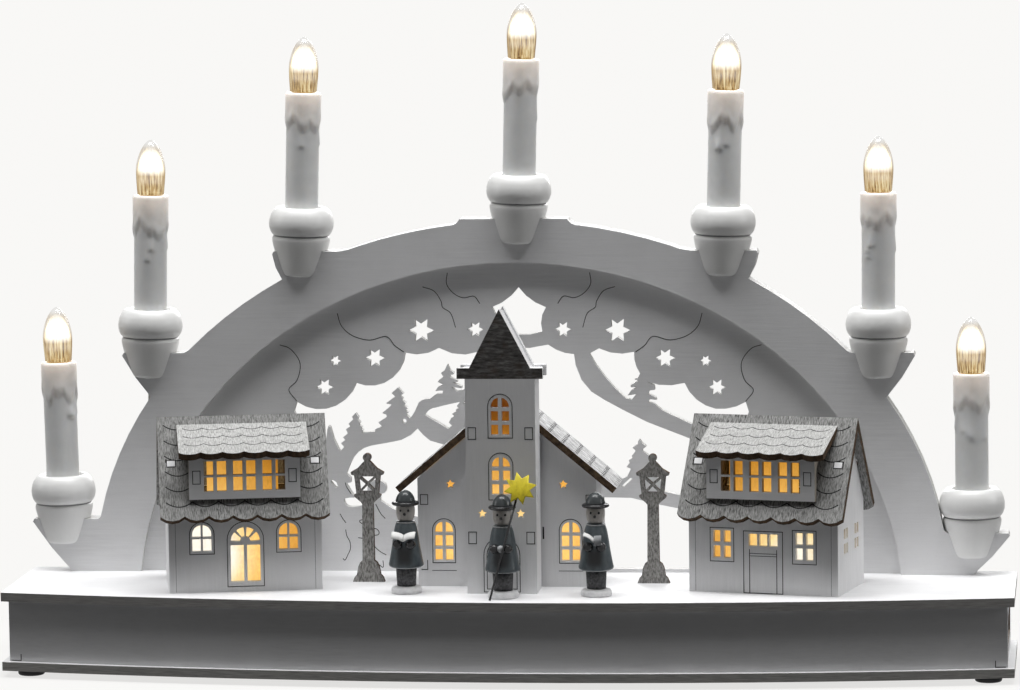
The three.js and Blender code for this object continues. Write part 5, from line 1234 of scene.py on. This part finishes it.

# %% [markdown]
# ## Building a figure
# Heights and widths are those of the CAD figure, in millimetres from the disc. The black on the front of
# the coat, below the hands, is a value on its points rather than a separate piece, so that it follows the
# round belly.

# %% Outlines of a figure
COAT_EDGE = [(0, 11.7), (6.6, 11.7), (7.6, 12.1), (7.8, 12.9), (7.55, 13.9), (7.2, 15.6), (6.7, 18.4),
             (6.2, 21.2), (5.85, 24), (5.4, 26.8), (4.95, 29.2), (4.35, 31.2), (3.3, 32.3), (0, 32.5)]
HEAD_EDGE = [(0, 31.9), (2.9, 32.2), (3.7, 33.4), (4.12, 35.2), (4.15, 37), (4.0, 38.8), (3.4, 40),
             (0, 40.6)]
BRIM_EDGE = [(0, 39.0), (4.4, 39.0), (5.7, 39.3), (6.15, 39.95), (5.8, 40.6), (4.7, 41.0), (0, 41.1)]
CROWN_EDGE = [(0, 40.6), (4.4, 40.7), (4.25, 41.6), (3.95, 42.6), (3.35, 43.8), (2.4, 44.9),
              (1.2, 45.6), (0, 46.0)]
DISC_EDGE = [(0, 0.0), (6.6, 0.0), (6.9, 0.5), (6.85, 2.0), (6.2, 2.9), (4.9, 3.3), (0, 3.45)]
LEG_EDGE = [(0, 3.2), (4.2, 3.2), (4.4, 7), (4.65, 11.9), (0, 12.0)]
PAGE_WIDE, PAGE_HIGH, PAGE_THICK, PAGE_STEPS, PAGE_BOW = 5.6, 4.4, 0.35, 6, 0.5
BOOK_PLACE, DOT_SINK, HAND_X = (0, -8.0, 25.4), 0.3, 2.9
BLACK_HALF, BLACK_Z, BLACK_HIGH = 3.4, 17.6, 4.2


def ring_section(radius, height, wide, high, steps=10):
    """A small oval beside the axis, which turns into a ring."""
    turns = (2 * math.pi * k / steps for k in range(steps))
    return [(radius + wide * math.cos(t), height + high * math.sin(t)) for t in turns]


def surface_radius(edge, z):
    """The radius of a turned shape at a height."""
    spans = [(a, b) for a, b in zip(edge, edge[1:]) if a[1] <= z <= b[1] and b[1] > a[1] and a[0] > 0]
    (r0, z0), (r1, z1) = spans[0]
    return r0 + (r1 - r0) * (z - z0) / (z1 - z0)


def dot_on(edge, x, z, radius):
    """A small ball set into the front of a turned shape, a little deeper than half."""
    reach = math.sqrt(surface_radius(edge, z) ** 2 - x * x)
    return ball_shape(radius, (x, -reach + radius * DOT_SINK, z), 16)


def page_shape(side, open_degrees, tip_degrees):
    """One bowed page, swung open about the spine of the book and then tipped."""
    line = []
    for i in range(PAGE_STEPS + 1):
        t = i / PAGE_STEPS
        line.append((side * PAGE_WIDE * t, -PAGE_BOW * math.sin(math.pi * t)))
    points = [(x, y + s * PAGE_THICK / 2, z) for z in (-PAGE_HIGH / 2, PAGE_HIGH / 2)
              for x, y in line for s in (-1, 1)]
    row = 2 * (PAGE_STEPS + 1)
    faces = []
    for i in range(PAGE_STEPS):
        a = 2 * i
        faces += [(a, a + 2, a + 3, a + 1), (row + a, row + a + 1, row + a + 3, row + a + 2),
                  (a, row + a, row + a + 2, a + 2), (a + 1, a + 3, row + a + 3, row + a + 1)]
    faces += [(0, 1, row + 1, row), (row - 2, 2 * row - 2, 2 * row - 1, row - 1)]
    swing = Matrix.Rotation(math.radians(-side * open_degrees), 4, "Z")
    tip = Matrix.Rotation(math.radians(-tip_degrees), 4, "X")
    return moved((points, faces), Matrix.Translation(BOOK_PLACE) @ tip @ swing)


print("a figure is", CROWN_EDGE[-1][1], "mm high")

# %% Figures
def figure(name, x, y, pages):
    place = stage_frame(x, y)

    def part(label, shape, material, **extra):
        add_piece(f"{name}_{label}", *shape[:2], place, material, slot="figure_paint", **extra)

    def uneven(r, z, angle):
        return r * (1 + 0.01 * math.sin(5 * angle + x))

    part("snow", turned(rounded(DISC_EDGE), 56, uneven), SNOW)
    part("legs", turned(LEG_EDGE, 40), TROUSER)
    coat = turned(rounded(COAT_EDGE), 72)
    tones = [math.exp(-((px / BLACK_HALF) ** 4) - ((pz - BLACK_Z) / BLACK_HIGH) ** 4) if py < 0 else 0.0
             for px, py, pz in coat[0]]
    part("coat", coat, COAT, values=tones)
    hem, collar = ring_section(6.5, 11.8, 0.3, 0.3), ring_section(4.0, 31.6, 0.35, 0.3)
    part("trim", joined([ring_turned(hem, 64), ring_turned(collar, 56)]), PALE)
    part("head", turned(rounded(HEAD_EDGE), 56), SKIN)
    eyes = [dot_on(HEAD_EDGE, side * 1.7, 37.1, 0.62) for side in (-1, 1)]
    part("face", joined([*eyes, dot_on(HEAD_EDGE, 0, 35.5, 0.7)]), BLACK)
    part("crown", turned(rounded(CROWN_EDGE), 64), SLATE)
    part("brim", turned(rounded(BRIM_EDGE), 64), BLACK)
    hands = [ball_shape(2.2, (side * HAND_X, -6.7, 22.5), 28) for side in (-1, 1)]
    part("hands", joined(hands), BLACK)
    cuff = ring_turned(ring_section(2.0, -0.5, 0.32, 0.32, 8), 28)
    arm_lean = Matrix.Rotation(math.radians(35), 4, "X")
    cuffs = [moved(cuff, Matrix.Translation((side * HAND_X, -6.6, 22.6)) @ arm_lean)
             for side in (-1, 1)]
    part("cuffs", joined(cuffs), SLATE)
    for side, degrees, tip, material in pages:
        part(f"page_{'right' if side > 0 else 'left'}", page_shape(side, degrees, tip), material)
    if not pages:
        part("bead", ball_shape(1.6, (0, -7.6, 22.6), 24), PALE)
    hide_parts(name)


figure("figure_left", -43, -68.6, [(-1, 20, 58, PAPER), (1, 20, 58, PAPER)])
figure("figure_middle", 1.5, -80.8, [])
figure("figure_right", 42, -74, [(-1, 34, 80, PAPER), (1, 52, 12, GREY_PAGE)])
print("three figures painted")

# %% [markdown]
# ## Star on its pole
# The star is cut from thin wood with eight tips and painted a mustard yellow by hand, so its outline
# is a little uneven. It runs straight from each tip to the waist beside it, and the star is built in
# six layers, the outer ones a little smaller, which soften its edge.

# %% Star
STAR_LAYERS = [(0.9, -1.0), (0.97, -0.8), (1.0, -0.5), (1.0, 0.5), (0.97, 0.8), (0.9, 1.0)]


def star_outline(radius, waist, tips, turn):
    rng = np.random.default_rng(8)
    places = []
    for k in range(2 * tips):
        angle = math.radians(turn) + math.pi * k / tips + math.pi / 2
        r = radius * (1 if k % 2 == 0 else waist) * (1 - 0.08 * rng.random())
        places.append((r * math.cos(angle), r * math.sin(angle)))
    return places


def star_shape():
    ring = star_outline(radius=7.6, waist=0.6, tips=8, turn=12)
    count = len(ring)
    points = [(x * grow, y, z * grow) for grow, y in STAR_LAYERS for x, z in ring]
    faces = []
    for layer in range(len(STAR_LAYERS) - 1):
        low, high = layer * count, (layer + 1) * count
        for k in range(count):
            j = (k + 1) % count
            faces.append((low + k, low + j, high + j, high + k))
    middle = len(points)
    points += [(0, -1.05, 0), (0, 1.05, 0)]
    last = (len(STAR_LAYERS) - 1) * count
    for k in range(count):
        j = (k + 1) % count
        faces += [(middle, k, j), (middle + 1, last + j, last + k)]
    return points, faces


def star_gold():
    s = Surface("star_gold")
    strokes = s.noise(420, 4, (1, 1, 0.5))
    yellows = [(0, (0.50, 0.40, 0.015)), (0.5, (0.74, 0.61, 0.02)), (1, (0.86, 0.74, 0.04))]
    s.set(Base_Color=s.ramp(s.between(strokes, 0.3, 0.7), yellows), Roughness=0.55)
    return s.bump(strokes, 0.3, 0.0003).material


pole = bar_shape((-3.3, -91.2, 0.3), (8.75, -88, 45), 0.5, 20)
pole_piece = add_piece("star_pole_stick", *pole, stage_frame(), BLACK, slot="star_paint")
star_place = stage_frame(10.3, -88, 49.4) @ Matrix.Rotation(math.radians(-18), 4, "X")
star = star_shape()
add_piece("star_on_pole", *star, star_place, star_gold(), slot="star_paint")
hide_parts("star_pole")
print("the star has", len(star[1]), "faces")

# %% [markdown]
# ## Feet
# Four soft pads lift the base from the table. A pad is a low turned disc with a rounded rim and a
# slightly dished foot.

# %% Feet
RUBBER = moulded("foot_rubber", (0.035, 0.035, 0.037, 1), 0.75, 1500, 0.25)
FOOT_EDGE = [(0, -38.15), (3.6, -38.3), (4.6, -38.3), (5.4, -38.2), (5.85, -37.8), (6.0, -37.2),
             (6.0, -35.45), (0, -35.45)]
for name in ("foot_front_left", "foot_front_right", "foot_back_left", "foot_back_right"):
    low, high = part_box(name)
    middle = (low + high) / 2 / MM - STAGE
    disc = turned(rounded(FOOT_EDGE, reach=0.25), 48)
    pad = add_piece(f"{name}_pad", *disc, stage_frame(middle.x, middle.y), RUBBER, slot="rubber")
    sharpen(pad, 50)
    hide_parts(name)
print("four pads of", 2 * FOOT_EDGE[-2][0], "mm")

# %% [markdown]
# ## Camera
# The photograph was taken from in front, a little above and slightly to the right, with a long lens.
# The camera is turned by three angles in degrees, and set right, up and back along its own axes, in
# millimetres from the origin of the stage. Its focal length is in pixels of the photograph.

# %% Camera
AZIMUTH, ELEVATION, ROLL = 6.731, 6.314, -0.771
SET_RIGHT, SET_UP, SET_BACK = -4.913, 102.011, 2277.873
SENSOR_WIDTH, FOCAL_PIXELS, PHOTO_PIXELS = 36, 5000, 1020


def view_axes(azimuth, elevation, roll):
    a, e, t = (math.radians(v) for v in (azimuth, elevation, roll))
    back = Vector((math.sin(a) * math.cos(e), -math.cos(a) * math.cos(e), math.sin(e)))
    right = Vector((math.cos(a), math.sin(a), 0))
    up = back.cross(right)
    return right * math.cos(t) + up * math.sin(t), up * math.cos(t) - right * math.sin(t), back


right, up, back = view_axes(AZIMUTH, ELEVATION, ROLL)
camera_data = bpy.data.cameras.new("camera")
camera_data.sensor_width = SENSOR_WIDTH
camera_data.lens = SENSOR_WIDTH * FOCAL_PIXELS / PHOTO_PIXELS
camera = bpy.data.objects.new("camera", camera_data)
bpy.context.scene.collection.objects.link(camera)
spot = (right * SET_RIGHT + up * SET_UP + back * SET_BACK + STAGE) * MM
camera.matrix_world = Matrix((right, up, back)).transposed().to_4x4()
camera.location = spot
camera_data.clip_end = 100
bpy.context.scene.camera = camera
print("camera at", [round(v, 3) for v in spot], "m")

# %% [markdown]
# ## Light and floor
# One broad lamp hangs above and a little before the front, so that tops are bright and upright faces
# stay grey, as in the photograph. Weaker lamps stand at both ends and behind. The world is white only
# where it is looked at, straight or in a reflection, so that it doesn't light the part.

# %% Lamps and world
def area_lamp(name, place, target, size, power):
    """An area lamp of a width and a depth in metres that looks at a place."""
    data = bpy.data.lights.new(name, "AREA")
    data.shape, data.size, data.size_y, data.energy = "RECTANGLE", *size, power
    lamp = bpy.data.objects.new(name, data)
    bpy.context.scene.collection.objects.link(lamp)
    lamp.location = place
    lamp.rotation_euler = (Vector(target) - Vector(place)).to_track_quat("-Z", "Y").to_euler()


area_lamp("key_lamp", (-0.02, -0.16, 1.4), (-0.02, -0.16, 0.0), (1.3, 0.5), 25)
area_lamp("right_lamp", (1.3, 0.0, 0.5), (0.05, 0, 0.12), (0.5, 0.5), 3.4)
area_lamp("back_lamp", (0.0, 1.3, 0.6), (0, 0, 0.12), (1.2, 0.6), 14.0)
area_lamp("left_lamp", (-1.3, -0.06, 0.5), (-0.05, 0, 0.12), (0.5, 0.5), 2.4)

WHITE = 0.945
SHOWN_WHITE = (WHITE, WHITE * 0.992, WHITE * 0.975, 1)
world = bpy.data.worlds.new("studio")
bpy.context.scene.world = world
world.use_nodes = True
tree = world.node_tree
background = tree.nodes["Background"]
background.inputs["Strength"].default_value = 1.0
path = tree.nodes.new("ShaderNodeLightPath").outputs
seen_by = path["Is Camera Ray"]
for way in ("Is Glossy Ray", "Is Transmission Ray"):
    either = tree.nodes.new("ShaderNodeMath")
    either.operation = "MAXIMUM"
    tree.links.new(seen_by, either.inputs[0])
    tree.links.new(path[way], either.inputs[1])
    seen_by = either.outputs[0]
shown = tree.nodes.new("ShaderNodeMix")
shown.data_type = "RGBA"
shown.inputs[6].default_value = (0.02, 0.02, 0.021, 1)
shown.inputs[7].default_value = SHOWN_WHITE
tree.links.new(seen_by, shown.inputs[0])
tree.links.new(shown.outputs[2], background.inputs["Color"])
print(len(bpy.data.lights), "lamps and a white world")

# %% [markdown]
# ## Floor
# The floor is plain white to the camera and in reflections. Within an oval round the part it is mixed
# with some matt white, which takes the part's real shadow, and the mix fades out past the oval.

# %% Floor
SHADOW_SHARE, SHADOW_HALF, SHADOW_FADE, FLOOR_HALF = 0.22, (0.25, 0.085), 1.8, 15.0


def floor_material():
    """Plain white to the camera, mixed with matt white near the part, which takes its shadow."""
    s = Surface("floor")
    s.tree.nodes.remove(s.shader)
    ways = s.add("ShaderNodeLightPath").outputs
    bent = s.math("MAXIMUM", ways["Is Glossy Ray"], ways["Is Transmission Ray"])
    seen = s.math("MAXIMUM", ways["Is Camera Ray"], bent)
    shrink = (1 / SHADOW_HALF[0], 1 / SHADOW_HALF[1], 1)
    squash = s.add("ShaderNodeVectorMath", {0: s.place, 1: shrink}, operation="MULTIPLY").outputs[0]
    reach = s.add("ShaderNodeVectorMath", {0: squash}, operation="LENGTH").outputs["Value"]
    share = s.between(reach, 1.0, SHADOW_FADE, SHADOW_SHARE, 0.0)
    white = s.add("ShaderNodeEmission", {"Color": SHOWN_WHITE})
    matt = s.add("ShaderNodeBsdfDiffuse", {"Color": (0.8, 0.8, 0.79, 1)})
    near = s.add("ShaderNodeMixShader", {0: share, 1: white.outputs[0], 2: matt.outputs[0]})
    dull = s.add("ShaderNodeBsdfDiffuse", {"Color": (0.05, 0.05, 0.05, 1)})
    both = s.add("ShaderNodeMixShader", {0: seen, 1: dull.outputs[0], 2: near.outputs[0]})
    s.tree.links.new(both.outputs[0], s.output.inputs["Surface"])
    return s.material


floor_mesh = bpy.data.meshes.new("floor")
corners = [(x * FLOOR_HALF, y * FLOOR_HALF, 0) for x, y in ((-1, -1), (1, -1), (1, 1), (-1, 1))]
floor_mesh.from_pydata(corners, [], [(0, 1, 2, 3)])
floor_mesh.materials.append(floor_material())
floor = bpy.data.objects.new("floor", floor_mesh)
bpy.context.scene.collection.objects.link(floor)
print("a floor", 2 * FLOOR_HALF, "m wide")

# %% Finish
bpy.context.scene.view_settings.view_transform = "Standard"
